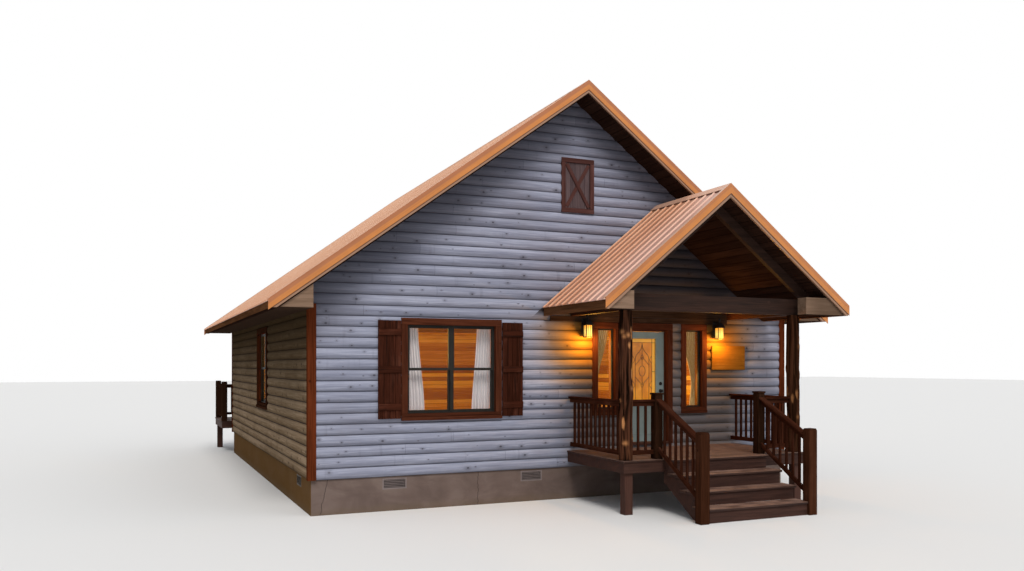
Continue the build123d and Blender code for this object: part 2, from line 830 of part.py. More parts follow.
# Two straight panels at the wide window, and one panel drawn aside at each narrow one
with BuildPart() as curtains:
    hang = [
        [(wide_left, curtain_foot), (wide_left, curtain_top), (wide_left + panel_top, curtain_top),
         (wide_left + panel_foot, curtain_foot)],
        [(wide_right, curtain_foot), (wide_right, curtain_top), (wide_right - panel_top, curtain_top),
         (wide_right - panel_foot, curtain_foot)],
        [(side_left, curtain_foot), (side_left, curtain_top), (side_left + drape_width, curtain_top),
         (side_left + drape_waist, waist_z), (side_left + drape_foot, curtain_foot)],
        [(right_right, curtain_foot), (right_right, curtain_top), (right_right - drape_width, curtain_top),
         (right_right - drape_waist, waist_z), (right_right - drape_foot, curtain_foot)],
    ]
    for outline in hang:
        gable_prism(outline, curtain_y - curtain_depth / 2, curtain_y + curtain_depth / 2)
save(curtains.part, "curtains")

# Board shutters beside the wide front window, each with three battens
with BuildPart() as shutters:
    for side in (-1, 1):
        near = wide_window_x + side * (wide_window / 2 + casing_width + shutter_gap)
        across = sorted((near, near + side * shutter_width))
        board(front_plane, across, (shutter_z, shutter_z + shutter_height),
              (log_bulge, log_bulge + shutter_thickness))
        for share in batten_places:
            mid = shutter_z + shutter_height * share
            board(front_plane, across, (mid - batten_width / 2, mid + batten_width / 2),
                  (log_bulge + shutter_thickness, log_bulge + shutter_thickness + batten_thickness))
save(shutters.part, "shutters")

# Front door surround: jambs and head, then the casing that takes in the sidelight
with BuildPart() as door_frame:
    board(front_plane, (opening_left, opening_right), (threshold_top, head_z),
          (-wall_thickness, -siding_thickness))
    board(front_plane, (door_x - door_clear, door_x + door_clear), (threshold_top, door_top + door_gap),
          (-wall_thickness, -siding_thickness), Mode.SUBTRACT)
save(door_frame.part, "door_frame")

with BuildPart() as door_casing:
    casing(front_plane, left_sidelight_x, narrow_window)
    board(front_plane, (door_x - casing_outer, door_x + casing_outer), (sill_z, casing_top),
          (-siding_thickness, casing_proud))
    board(front_plane, (door_x - casing_inner, door_x + casing_inner), (sill_z, head_z - casing_reveal),
          (-siding_thickness, casing_proud), Mode.SUBTRACT)
save(door_casing.part, "door_casing")

with BuildPart() as threshold:
    board(front_plane, (door_x - casing_inner, door_x + casing_inner), (sill_z, threshold_top),
          (-siding_thickness, threshold_nose))
    board(front_plane, (opening_left, opening_right), (floor_top, threshold_top),
          (-wall_thickness, -siding_thickness))
save(threshold.part, "threshold")

# Front door leaf with a tall lite over two raised panels, its glass, hinges and handles
door_left = door_x - door_width / 2
door_right = door_x + door_width / 2
door_depth = (-door_face - door_thickness, -door_face)
lite = (door_x - lite_width / 2, door_x + lite_width / 2)
lite_up = (lite_z, lite_z + lite_height)

with BuildPart() as door:
    board(front_plane, (door_left, door_right), (door_bottom, door_top), door_depth)
    rim = (lite[0] - lite_frame, lite[1] + lite_frame)
    board(front_plane, rim, (lite_up[0] - lite_frame, lite_up[1] + lite_frame),
          (door_depth[0] - lite_proud, door_depth[1] + lite_proud))
    board(front_plane, lite, lite_up, (door_depth[0] - lite_proud, door_depth[1] + lite_proud), Mode.SUBTRACT)
    for across in ((rim[0], door_x - door_panel_gap / 2), (door_x + door_panel_gap / 2, rim[1])):
        board(front_plane, across, (door_panel_foot, door_panel_head),
              (door_depth[0] - door_panel_proud, door_depth[1] + door_panel_proud))
save(door.part, "door")

door_middle = (door_depth[0] + door_depth[1]) / 2
with BuildPart() as door_glass:
    board(front_plane, lite, lite_up, (door_middle - glass_thickness, door_middle + glass_thickness))
save(door_glass.part, "door_glass")

hinge_x = door_left + hinge_offset
hinge_y = front_y - door_depth[0] + hinge_radius
hinge_heights = (door_bottom + hinge_inset, (door_bottom + door_top) / 2, door_top - hinge_inset)


def handle(z, outline):
    """Two turned halves of a handle, one on each face of the door."""
    for facing, face_y in ((-1, front_y - door_depth[1]), (1, front_y - door_depth[0])):
        plane = Plane(origin=(door_right - knob_inset, face_y, z), x_dir=(1, 0, 0), z_dir=(0, 0, 1))
        with BuildSketch(plane) as half:
            with BuildLine():
                Polyline(*[(radius, facing * reach) for radius, reach in outline], close=True)
            make_face()
        revolve(half.sketch, axis=Axis((door_right - knob_inset, face_y, z), (0, 1, 0)))


# Each hinge has a lower knuckle on the jamb and an upper one on the door, on one upright axis
knuckle = (hinge_height - knuckle_gap) / 2

with BuildPart() as jamb_hinges:
    for z in hinge_heights:
        with Locations((hinge_x, hinge_y, z - (knuckle + knuckle_gap) / 2)):
            Cylinder(hinge_radius - knuckle_clearance, knuckle)
        block((door_x - door_clear, hinge_x), (hinge_y - hinge_leaf / 2, hinge_y + hinge_leaf / 2),
              (z - hinge_height / 2, z - knuckle_gap / 2))
save(jamb_hinges.part, "jamb_hinges")

with BuildPart() as door_hardware:
    for z in hinge_heights:
        with Locations((hinge_x, hinge_y, z + (knuckle + knuckle_gap) / 2)):
            Cylinder(hinge_radius, knuckle)
        leaf_y = hinge_y - hinge_radius
        block((hinge_x, hinge_x + hinge_plate), (leaf_y, leaf_y + hinge_leaf),
              (z + knuckle_gap / 2, z + hinge_height / 2))
    handle(knob_z, knob_outline)
    handle(deadbolt_z, deadbolt_outline)
save(door_hardware.part, "door_hardware")

# Rear door, fixed shut in its frame
with BuildPart() as rear_door_frame:
    board(back_plane, (rear_door_x - rear_half, rear_door_x + rear_half), (threshold_top, head_z),
          (-wall_thickness, -siding_thickness))
    clear = rear_half - jamb_thickness
    board(back_plane, (rear_door_x - clear, rear_door_x + clear), (threshold_top, head_z - jamb_thickness),
          (-wall_thickness, -siding_thickness), Mode.SUBTRACT)
    rear_outer = rear_half + casing_width
    board(back_plane, (rear_door_x - rear_outer, rear_door_x + rear_outer), (sill_z, casing_top),
          (-siding_thickness, casing_proud))
    board(back_plane, (rear_door_x - clear, rear_door_x + clear), (threshold_top, head_z - jamb_thickness),
          (-siding_thickness, casing_proud), Mode.SUBTRACT)
    board(back_plane, (rear_door_x - rear_half, rear_door_x + rear_half), (floor_top, threshold_top),
          (-wall_thickness, -siding_thickness))
save(rear_door_frame.part, "rear_door_frame")

with BuildPart() as rear_door:
    board(back_plane, (rear_door_x - clear, rear_door_x + clear), (threshold_top, head_z - jamb_thickness),
          (-door_face - door_thickness, -door_face))
save(rear_door.part, "rear_door")

# Wall lanterns: a back plate and arm carrying a caged glass
glass_half = lantern_glass_size / 2
cage = glass_half + lantern_bar
lantern_axis = log_bulge + lantern_plate + lantern_stand + cage
glass_low = lantern_z + lantern_base
glass_high = glass_low + lantern_glass_height
crown_z = glass_high + lantern_crown_rise
plate_face = log_face - lantern_plate

with BuildPart() as lanterns:
    for x in lantern_x:
        centre_y = front_y - lantern_axis
        block((x - lantern_plate_width / 2, x + lantern_plate_width / 2), (plate_face, log_face),
              (lantern_z + lantern_plate_low, lantern_z + lantern_plate_high))
        block((x - cage, x + cage), (centre_y - cage, centre_y + cage), (lantern_z, glass_low))
        for px in (x - cage, x + glass_half):
            for py in (centre_y - cage, centre_y + glass_half):
                block((px, px + lantern_bar), (py, py + lantern_bar), (glass_low, glass_high))
        with BuildSketch(Plane.XY.offset(glass_high)) as eaves:
            with Locations((x, centre_y)):
                Rectangle(2 * (cage + lantern_eave), 2 * (cage + lantern_eave))
        with BuildSketch(Plane.XY.offset(crown_z)) as crown:
            with Locations((x, centre_y)):
                Rectangle(lantern_crown, lantern_crown)
        loft([eaves.sketch, crown.sketch])
        finial = lantern_finial / 2
        block((x - finial, x + finial), (centre_y - finial, centre_y + finial),
              (crown_z, lantern_z + lantern_height))
        block((x - lantern_arm / 2, x + lantern_arm / 2), (centre_y, plate_face),
              (crown_z, crown_z + lantern_arm))
save(lanterns.part, "lanterns")

with BuildPart() as lantern_glass:
    for x in lantern_x:
        centre_y = front_y - lantern_axis
        block((x - glass_half, x + glass_half), (centre_y - glass_half, centre_y + glass_half),
              (glass_low, glass_high))
save(lantern_glass.part, "lantern_glass")

with BuildPart() as wall_plaque:
    board(front_plane, (plaque_x - plaque_width / 2, plaque_x + plaque_width / 2),
          (plaque_z, plaque_z + plaque_height), (log_bulge, log_bulge + plaque_thickness))
save(wall_plaque.part, "wall_plaque")

# Porch roof: two slopes from a ridge set right of the middle, tails cut level with the beams
porch_slab_front = porch_front_y + barge_thickness


def porch_tail(side):
    """The porch slab's outline on one side of the ridge, as X and Z points."""
    edge = porch_ridge_x + side * (porch_halves[(side + 1) // 2] - drip - fascia_thickness)
    pitch = porch_pitches[(side + 1) // 2]
    ridge_under = porch_ridge[1] - porch_roof_depth * porch_slope(side)
    level_x = porch_ridge_x + side * (ridge_under - beam_bottom) / pitch
    ridge_top = ridge_under + porch_roof_depth * porch_slope(side)
    return [(porch_ridge_x, ridge_under), (level_x, beam_bottom), (edge, beam_bottom),
            (edge, porch_top(edge)), (porch_ridge_x, ridge_top)]


for side, name in ((-1, "porch_roof_left"), (1, "porch_roof_right")):
    with BuildPart() as porch_roof:
        gable_prism(porch_tail(side), porch_slab_front, log_face)
    save(porch_roof.part, name)

# Ribbed metal on the main roof and the porch roof, one slope of each to a side
for side, name in ((-1, "roof_metal_left"), (1, "roof_metal_right")):
    with BuildPart() as roof_metal:
        ribbed_sheet(main_ridge, side, roof_pitch, eave_x, roof_front, roof_back)
        ribbed_sheet(porch_ridge, side, porch_pitches[(side + 1) // 2],
                     porch_halves[(side + 1) // 2], porch_front_y, log_face)
    save(roof_metal.part, name)

# Boxed eaves: level soffits along the main roof, and closed returns beside the porch posts
with BuildPart() as eave_boxes:
    for side, inner_x in ((-1, porch_box_left_x), (1, porch_box_right_x)):
        wall_x = side * (house_width / 2 + corner_proud)
        eave_box(wall_x, side * soffit_x, under_roof(wall_x),
                 roof_front + barge_thickness, roof_back - barge_thickness,
                 front_y - corner_proud, back_y + corner_proud)
        level_x = porch_tail(side)[1][0]
        ridge_under = porch_tail(side)[0][1]
        top_x = porch_ridge_x + side * (ridge_under - porch_box_top) / porch_pitches[(side + 1) // 2]
        gable_prism([(inner_x, beam_bottom), (level_x, beam_bottom),
                     (top_x, porch_box_top), (inner_x, porch_box_top)],
                    porch_slab_front, porch_slab_front + porch_box_depth)
save(eave_boxes.part, "eave_boxes")

# Porch beams: one across the front on the log posts, one back to the wall on each side
beam_top = beam_bottom + beam_depth
beam_front = post_y - beam_width / 2
with BuildPart() as porch_front_beam:
    block((post_left_x - beam_end, post_right_x + beam_end), (beam_front, beam_front + beam_width),
          (beam_bottom, beam_top))
save(porch_front_beam.part, "porch_front_beam")

with BuildPart() as porch_side_beams:
    for x in (post_left_x, post_right_x):
        block((x - beam_width / 2, x + beam_width / 2), (beam_front + beam_width, log_face),
              (beam_bottom, beam_top))
save(porch_side_beams.part, "porch_side_beams")

# Truss chords under the porch roof, standing on the front beam
with BuildPart() as porch_truss:
    chord = (beam_front + (beam_width - chord_width) / 2, beam_front + (beam_width + chord_width) / 2)
    for side in (-1, 1):
        ridge_under = porch_tail(side)[0][1]
        pitch = porch_pitches[(side + 1) // 2]
        drop = chord_depth * porch_slope(side)
        reach = (ridge_under - beam_top) / pitch
        gable_prism([(porch_ridge_x, ridge_under), (porch_ridge_x + side * reach, beam_top),
                     (porch_ridge_x + side * (reach - drop / pitch), beam_top),
                     (porch_ridge_x, ridge_under - drop)], *chord)
save(porch_truss.part, "porch_truss")


def log_post(x, extra=0, mode=Mode.ADD):
    """A tapering natural log, a little crooked, from the deck to the beam."""
    with BuildSketch(Plane.XY.offset(deck_top)) as foot:
        with Locations((x, post_y)):
            Circle(post_foot_radius + extra)
    rings = [foot.sketch]
    for n in range(1, post_rings):
        share = n / (post_rings - 1)
        radius = post_foot_radius + (post_head_radius - post_foot_radius) * share + extra
        sway = post_sway * sin(3.1 * n + x) * (1 - share)
        with BuildSketch(Plane.XY.offset(deck_top + (beam_bottom - deck_top) * share)) as ring:
            with Locations((x + sway, post_y + 0.6 * sway)):
                Circle(radius)
        rings.append(ring.sketch)
    loft(rings, ruled=True, mode=mode)


with BuildPart() as log_posts:
    for x in (post_left_x, post_right_x):
        log_post(x)
save(log_posts.part, "log_posts")

# Porch deck: boards over a joisted frame, on two square posts at the front
deck_front = log_face - deck_depth
deck_under = deck_top - deck_board
rim_bottom = deck_under - rim_depth
rim_front = deck_front + deck_nose
lower_half = lower_newel_size / 2

# The outer stringers are half let into the lower newels, and the treads end beside the stair rails
stair_left = newel_left_x + lower_half - stringer_width / 2
stair_right = newel_right_x - lower_half + stringer_width / 2
tread_left = newel_left_x + rail_width / 2 + tread_gap
tread_right = newel_right_x - rail_width / 2 - tread_gap

# The rear deck starts at the corner board's face and reaches out past the house's left side
rear_left = left_x - rear_deck_reach
rear_right = rear_left + rear_deck_width
rear_wall = back_y + corner_proud
rear_edge = rear_wall + rear_deck_depth
decks = (
    (deck_left, deck_right, log_face, deck_front, -1),
    (rear_left, rear_right, rear_wall, rear_edge, 1),
)

with BuildPart() as deck_boards:
    for x0, x1, wall_y, edge_y, outward in decks:
        block((x0, x1), sorted((wall_y, edge_y)), (deck_under, deck_top))
save(deck_boards.part, "deck_boards")

with BuildPart() as deck_frames:
    for x0, x1, wall_y, edge_y, outward in decks:
        first, last = x0 + deck_nose, x1 - deck_nose
        rim_y = edge_y - outward * deck_nose
        block((first, last), sorted((wall_y, rim_y)), (rim_bottom, deck_under))
        pocket = (last - first - rim_thickness * (deck_joists + 1)) / deck_joists
        for n in range(deck_joists):
            low = first + rim_thickness + n * (pocket + rim_thickness)
            block((low, low + pocket),
                  sorted((wall_y + outward * rim_thickness, rim_y - outward * rim_thickness)),
                  (rim_bottom, deck_under), Mode.SUBTRACT)
    block((stair_left, stair_right), (rim_front, rim_front + rim_thickness),
          (rim_bottom - header_depth, rim_bottom))
save(deck_frames.part, "deck_frames")

with BuildPart() as deck_posts:
    for x0, x1, wall_y, edge_y, outward in decks:
        inset = deck_nose + rim_thickness + deck_post / 2
        for x in (x0 + inset, x1 - inset):
            y = edge_y - outward * inset
            block((x - deck_post / 2, x + deck_post / 2), (y - deck_post / 2, y + deck_post / 2),
                  (0, rim_bottom))
save(deck_posts.part, "deck_posts")

# Stair: four rises, three treads on cut stringers, and a board flush with the deck over the top rise
rise = deck_top / riser_count
riser_y = [top_riser_y - (riser_count - 1 - n) * tread_run for n in range(riser_count)]


def lower_newel(x, mode=Mode.ADD):
    """A square post on the ground at the foot of the stair."""
    block((x - lower_half, x + lower_half), (lower_newel_y - lower_half, lower_newel_y + lower_half),
          (0, lower_newel_height), mode)


with BuildPart() as stair_treads:
    for n in range(riser_count):
        top = rise * (n + 1)
        back = riser_y[n + 1] if n < riser_count - 1 else deck_front
        block((tread_left, tread_right), (riser_y[n] - tread_nose, back), (top - tread_thickness, top))
    for x in (newel_left_x, newel_right_x):
        lower_newel(x, Mode.SUBTRACT)
save(stair_treads.part, "stair_treads")

with BuildPart() as stair_carriage:
    outline = [(riser_y[0] + riser_thickness, 0)]
    for n in range(riser_count):
        step = rise * (n + 1) - tread_thickness
        block((stair_left, stair_right), (riser_y[n], riser_y[n] + riser_thickness), (rise * n, step))
        back = riser_y[n + 1] + riser_thickness if n < riser_count - 1 else rim_front
        outline += [(riser_y[n] + riser_thickness, step), (back, step)]
    outline += [(rim_front, rim_bottom - header_depth), (riser_y[0] + stringer_foot, 0)]
    middle = (stair_left + stair_right) / 2
    for x in (stair_left, middle - stringer_width / 2, stair_right - stringer_width):
        side_prism(outline, x, x + stringer_width)
    for x in (newel_left_x, newel_right_x):
        lower_newel(x, Mode.SUBTRACT)
save(stair_carriage.part, "stair_carriage")

# Newels: two on the ground, two in line with the log posts, and three on the rear deck
newel_half = newel_size / 2
rear_newel_y = rear_edge - deck_nose - newel_half
rear_newel_left = rear_left + deck_nose + newel_half
rear_newel_right = rear_right - deck_nose - newel_half

with BuildPart() as newel_posts:
    for x in (newel_left_x, newel_right_x):
        lower_newel(x)
    for x, y in ((newel_left_x, post_y), (newel_right_x, post_y), (rear_newel_left, rear_newel_y),
                 (rear_newel_right, rear_newel_y), (rear_newel_left, rear_wall + newel_half)):
        block((x - newel_half, x + newel_half), (y - newel_half, y + newel_half),
              (deck_top, deck_top + newel_height))
save(newel_posts.part, "newel_posts")


def railing(plane, across, up):
    """A level panel: flat cap, top and bottom rails, and square balusters between."""
    low, high = up + rail_gap, up + rail_height
    board(plane, across, (high - rail_cap, high), (-rail_cap_width / 2, rail_cap_width / 2))
    board(plane, across, (high - rail_cap - rail_depth, high - rail_cap), (-rail_width / 2, rail_width / 2))
    board(plane, across, (low, low + rail_depth), (-rail_width / 2, rail_width / 2))
    span = across[1] - across[0]
    count = max(1, round(span / baluster_spacing) - 1)
    for n in range(count):
        x = across[0] + span * (n + 1) / (count + 1)
        board(plane, (x - baluster / 2, x + baluster / 2), (low + rail_depth, high - rail_cap - rail_depth),
              (-baluster / 2, baluster / 2))


side_rail_left = Plane(origin=(deck_left + rail_inset, 0, 0), x_dir=(0, 1, 0), z_dir=(1, 0, 0))
side_rail_right = Plane(origin=(deck_right - rail_inset, 0, 0), x_dir=(0, 1, 0), z_dir=(1, 0, 0))
front_rail = Plane(origin=(0, post_y, 0), x_dir=(1, 0, 0), z_dir=(0, -1, 0))

# Level railings: two at the porch sides, two at its front, and three round the rear deck
with BuildPart() as railings:
    railing(side_rail_left, (post_y, log_face), deck_top)
    railing(side_rail_right, (post_y, log_face), deck_top)
    railing(front_rail, (post_left_x, newel_left_x - newel_half), deck_top)
    railing(front_rail, (newel_right_x + newel_half, post_right_x), deck_top)
    for x in (post_left_x, post_right_x):
        log_post(x, 0.3, Mode.SUBTRACT)
    railing(Plane(origin=(0, rear_newel_y, 0), x_dir=(1, 0, 0), z_dir=(0, -1, 0)),
            (rear_newel_left + newel_half, rear_newel_right - newel_half), deck_top)
    for x, y in ((rear_newel_left, rear_wall + newel_size), (rear_newel_right, back_y + log_bulge)):
        railing(Plane(origin=(x, 0, 0), x_dir=(0, 1, 0), z_dir=(1, 0, 0)),
                (y, rear_newel_y - newel_half), deck_top)
save(railings.part, "railings")

# Sloping stair rails between the newels, the bottom rail a little steeper than the cap
low_y = lower_newel_y + lower_half
high_y = post_y - newel_half
stair_cap_line = (stair_rail_foot, stair_rail_head)
stair_bottom_line = (stair_bottom_foot, stair_bottom_head)


def steepness(line):
    """How much longer a sloping line is than its run."""
    return hypot(1, (line[1] - line[0]) / (high_y - low_y))


def height_on(line, y):
    """Height at y of a line between the newels."""
    return line[0] + (line[1] - line[0]) * (y - low_y) / (high_y - low_y)


def sloping_rail(x, width, line, start, stop):
    """A rail under a line between the newels, from one depth below it to another."""
    upper, lower = start * steepness(line), stop * steepness(line)
    side_prism([(low_y, line[0] - upper), (high_y, line[1] - upper),
                (high_y, line[1] - lower), (low_y, line[0] - lower)],
               x - width / 2, x + width / 2)


with BuildPart() as stair_rails:
    for x in (newel_left_x, newel_right_x):
        sloping_rail(x, rail_cap_width, stair_cap_line, 0, rail_cap)
        sloping_rail(x, rail_width, stair_cap_line, rail_cap, rail_cap + rail_depth)
        sloping_rail(x, rail_width, stair_bottom_line, 0, rail_depth)
        count = round((high_y - low_y) / baluster_spacing) - 1
        for n in range(count):
            y = low_y + (high_y - low_y) * (n + 1) / (count + 1)
            half = baluster / 2
            low = height_on(stair_bottom_line, y) - rail_depth / 2 * steepness(stair_bottom_line)
            high = height_on(stair_cap_line, y) - (rail_cap + rail_depth / 2) * steepness(stair_cap_line)
            block((x - half, x + half), (y - half, y + half), (low, high))
save(stair_rails.part, "stair_rails")
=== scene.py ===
import math
import random

import bmesh
import bpy
from mathutils import Matrix, Vector, noise


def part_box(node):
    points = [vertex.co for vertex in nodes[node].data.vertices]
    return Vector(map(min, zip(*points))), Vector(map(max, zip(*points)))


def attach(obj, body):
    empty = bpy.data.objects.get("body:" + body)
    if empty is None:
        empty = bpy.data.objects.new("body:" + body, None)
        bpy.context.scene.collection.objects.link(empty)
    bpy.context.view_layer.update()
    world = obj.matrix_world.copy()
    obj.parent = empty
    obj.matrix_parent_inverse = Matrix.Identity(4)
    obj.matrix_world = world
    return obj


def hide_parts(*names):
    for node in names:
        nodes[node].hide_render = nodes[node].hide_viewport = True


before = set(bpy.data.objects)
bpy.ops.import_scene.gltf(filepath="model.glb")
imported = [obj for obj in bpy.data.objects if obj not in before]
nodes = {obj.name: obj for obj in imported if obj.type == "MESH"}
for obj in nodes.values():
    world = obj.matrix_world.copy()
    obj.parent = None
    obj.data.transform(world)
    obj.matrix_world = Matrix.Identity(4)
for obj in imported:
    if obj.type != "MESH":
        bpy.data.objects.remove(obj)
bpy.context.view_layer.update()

# Levels and planes of the house, in metres, taken from the frame
STEM_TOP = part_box("foundation_ends")[1].z
WALL_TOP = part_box("left_wall")[1].z
WALL_COURSES = 16
COURSE = (WALL_TOP - STEM_TOP) / WALL_COURSES
CORNER_PROUD = 0.032
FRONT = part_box("corner_boards")[0].y + CORNER_PROUD
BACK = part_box("corner_boards")[1].y - CORNER_PROUD
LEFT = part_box("corner_boards")[0].x + CORNER_PROUD
RIGHT = -LEFT
BULGE = 0.026
LOG_FACE = FRONT - BULGE
DECK_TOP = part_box("deck_boards")[1].z
BEAM_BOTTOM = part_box("porch_front_beam")[0].z
X, Y, Z = 0, 1, 2

# Both roofs: ridges, slopes and ribs
MAIN_RIDGE_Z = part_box("roof_left")[1].z
MAIN_PITCH = 0.732
MAIN_HALF = 5.290
RAKE_OVERHANG = 0.500
PORCH_RIDGE_X = 1.657
PORCH_RIDGE_Z = 5.204
PORCH_HALVES = (2.300, 2.500)
PORCH_RISE = PORCH_RIDGE_Z - 3.311
PORCH_FRONT = -2.290
RIB_SPACING = 0.229
RIB_BASE = 0.056

# Windows: heights, middles and widths
SILL = 1.544
HEAD = 2.974
WIDE_X = -2.281
WIDE = 1.526
SIDE_Y = 4.880
SIDE = 1.190
REAR_WINDOW_X = -3.450
NARROW = 0.350
SIDELIGHT_X = 0.617
RIGHT_X = 2.490

# The front door, its pane, and the lanterns beside it
DOOR_X = 1.429
LITE_HALF = 0.280
LITE = (DOOR_X - LITE_HALF, DOOR_X + LITE_HALF)
LITE_UP = (1.600, 2.810)
LANTERN_X = (0.172, 2.973)


# Finishes

class Value:
    """A socket in a finish, on which arithmetic adds Math nodes."""

    def __init__(self, finish, socket):
        self.finish = finish
        self.socket = socket

    def out(self, name):
        return Value(self.finish, self.socket.node.outputs[name])

    def __add__(self, other):
        return self.finish.maths("ADD", self, other)

    def __radd__(self, other):
        return self.finish.maths("ADD", other, self)

    def __sub__(self, other):
        return self.finish.maths("SUBTRACT", self, other)

    def __rsub__(self, other):
        return self.finish.maths("SUBTRACT", other, self)

    def __mul__(self, other):
        return self.finish.maths("MULTIPLY", self, other)

    def __rmul__(self, other):
        return self.finish.maths("MULTIPLY", other, self)

    def __truediv__(self, other):
        return self.finish.maths("DIVIDE", self, other)

    def __gt__(self, other):
        return self.finish.maths("GREATER_THAN", self, other)

    def __lt__(self, other):
        return self.finish.maths("LESS_THAN", self, other)

    def __abs__(self):
        return self.finish.maths("ABSOLUTE", self)


class Finish:
    """One material, built from nodes."""

    def __init__(self, name):
        self.material = bpy.data.materials.new(name)
        self.material.use_nodes = True
        self.tree = self.material.node_tree
        self.shader = self.tree.nodes["Principled BSDF"]

    def node(self, kind, settings=None, inputs=None, output=0):
        made = self.tree.nodes.new(kind)
        for key, value in (settings or {}).items():
            if key == "stops":
                ramp = made.color_ramp
                while len(ramp.elements) < len(value):
                    ramp.elements.new(0.5)
                for element, (place, colour) in zip(ramp.elements, value):
                    element.position = place
                    element.color = colour if len(colour) == 4 else (*colour, 1)
            else:
                setattr(made, key, value)
        for key, value in (inputs or {}).items():
            self.feed(made.inputs[key], value)
        return Value(self, made.outputs[output])

    def feed(self, socket, value):
        if isinstance(value, Value):
            self.tree.links.new(value.socket, socket)
        elif isinstance(value, (tuple, list)) and socket.type == "RGBA" and len(value) == 3:
            socket.default_value = (*value, 1)
        else:
            socket.default_value = value

    def maths(self, operation, *values):
        return self.node("ShaderNodeMath", {"operation": operation}, dict(enumerate(values)))

    def place(self):
        return self.node("ShaderNodeTexCoord", output=3)

    def split(self, vector):
        parts = self.node("ShaderNodeSeparateXYZ", inputs={0: vector})
        return parts, parts.out("Y"), parts.out("Z")

    def join(self, x, y, z=0.0):
        return self.node("ShaderNodeCombineXYZ", inputs={0: x, 1: y, 2: z})

    def normal(self):
        return self.node("ShaderNodeNewGeometry", output="Normal")

    def grain(self):
        """The boards' own coordinates: along the grain, across it, and a tone for each board."""
        along = self.node("ShaderNodeUVMap", {"uv_map": "grain"})
        tone = self.node("ShaderNodeAttribute", {"attribute_name": "tone"}, output="Fac")
        u, v, _ = self.split(along)
        return u, v, tone

    def noise(self, vector, scale=1.0, detail=4.0, roughness=0.55, twist=0.0):
        return self.node("ShaderNodeTexNoise", {"noise_dimensions": "3D"}, {
            "Vector": vector, "Scale": scale, "Detail": detail, "Roughness": roughness, "Distortion": twist})

    def scatter(self, value):
        """A steady random number from 0 to 1 for each whole value."""
        return self.node("ShaderNodeTexWhiteNoise", {"noise_dimensions": "1D"}, {"W": value})

    def cells(self, vector, scale=1.0):
        return self.node("ShaderNodeTexVoronoi", {"voronoi_dimensions": "3D"},
                         {"Vector": vector, "Scale": scale})

    def between(self, value, low, high, start=0.0, end=1.0):
        """Runs from start to end as the value runs from low to high, smoothly."""
        return self.node("ShaderNodeMapRange", {"interpolation_type": "SMOOTHSTEP"},
                         {0: value, 1: low, 2: high, 3: start, 4: end})

    def mix(self, share, a, b, blend="MIX"):
        return self.node("ShaderNodeMix", {"data_type": "RGBA", "blend_type": blend},
                         {0: share, 6: a, 7: b}, output=2)

    def under_roof(self):
        """How far a spot lies under the slope of its roof, and whether that is the porch's roof."""
        x, y, z = self.split(self.place())
        steep = math.hypot(1, MAIN_PITCH)
        main = (MAIN_RIDGE_Z - abs(x) * MAIN_PITCH - z) / steep
        left_pitch, right_pitch = (PORCH_RISE / half for half in PORCH_HALVES)
        left = (PORCH_RIDGE_Z - (PORCH_RIDGE_X - x) * left_pitch - z) / math.hypot(1, left_pitch)
        right = (PORCH_RIDGE_Z - (x - PORCH_RIDGE_X) * right_pitch - z) / math.hypot(1, right_pitch)
        side = x > PORCH_RIDGE_X
        porch = y < FRONT - 1.0
        over_porch = left * (1.0 - side) + right * side
        return main * (1.0 - porch) + over_porch * porch, porch

    def turn(self, share, a, b):
        """A direction between two others."""
        mixed = self.node("ShaderNodeMix", {"data_type": "VECTOR"}, {0: share, 4: a, 5: b}, output=1)
        return self.node("ShaderNodeVectorMath", {"operation": "NORMALIZE"}, {0: mixed})

    def ramp(self, value, stops):
        return self.node("ShaderNodeValToRGB", {"stops": stops}, {0: value})

    def bump(self, height, strength=0.5, depth=0.002, under=None):
        inputs = {"Height": height, "Strength": strength, "Distance": depth}
        if under is not None:
            inputs["Normal"] = under
        return self.node("ShaderNodeBump", inputs=inputs)

    def surface(self, **inputs):
        for key, value in inputs.items():
            self.feed(self.shader.inputs[key.replace("_", " ")], value)
        return self.material


def scaled(colour, share):
    """A colour made darker or lighter."""
    return tuple(share * part for part in colour)


def knot_row(f, run, within, course, spacing, offset, chosen, small, large):
    """One knot or none in each stretch of a log: how far away it is, its size, and whether it is there."""
    spot = (run + offset) / spacing
    cell = f.maths("FLOOR", spot)
    seed = cell + course * 57.31 + offset
    sideways = (spot - cell - 0.25 - f.scatter(seed + 0.37) * 0.5) * spacing
    upward = (within - 0.22 - f.scatter(seed + 0.73) * 0.5) * COURSE
    away = f.maths("SQRT", sideways * sideways * 0.42 + upward * upward)
    size = f.scatter(seed + 0.91) * (large - small) + small
    return away, size, f.scatter(seed + 0.11) > chosen


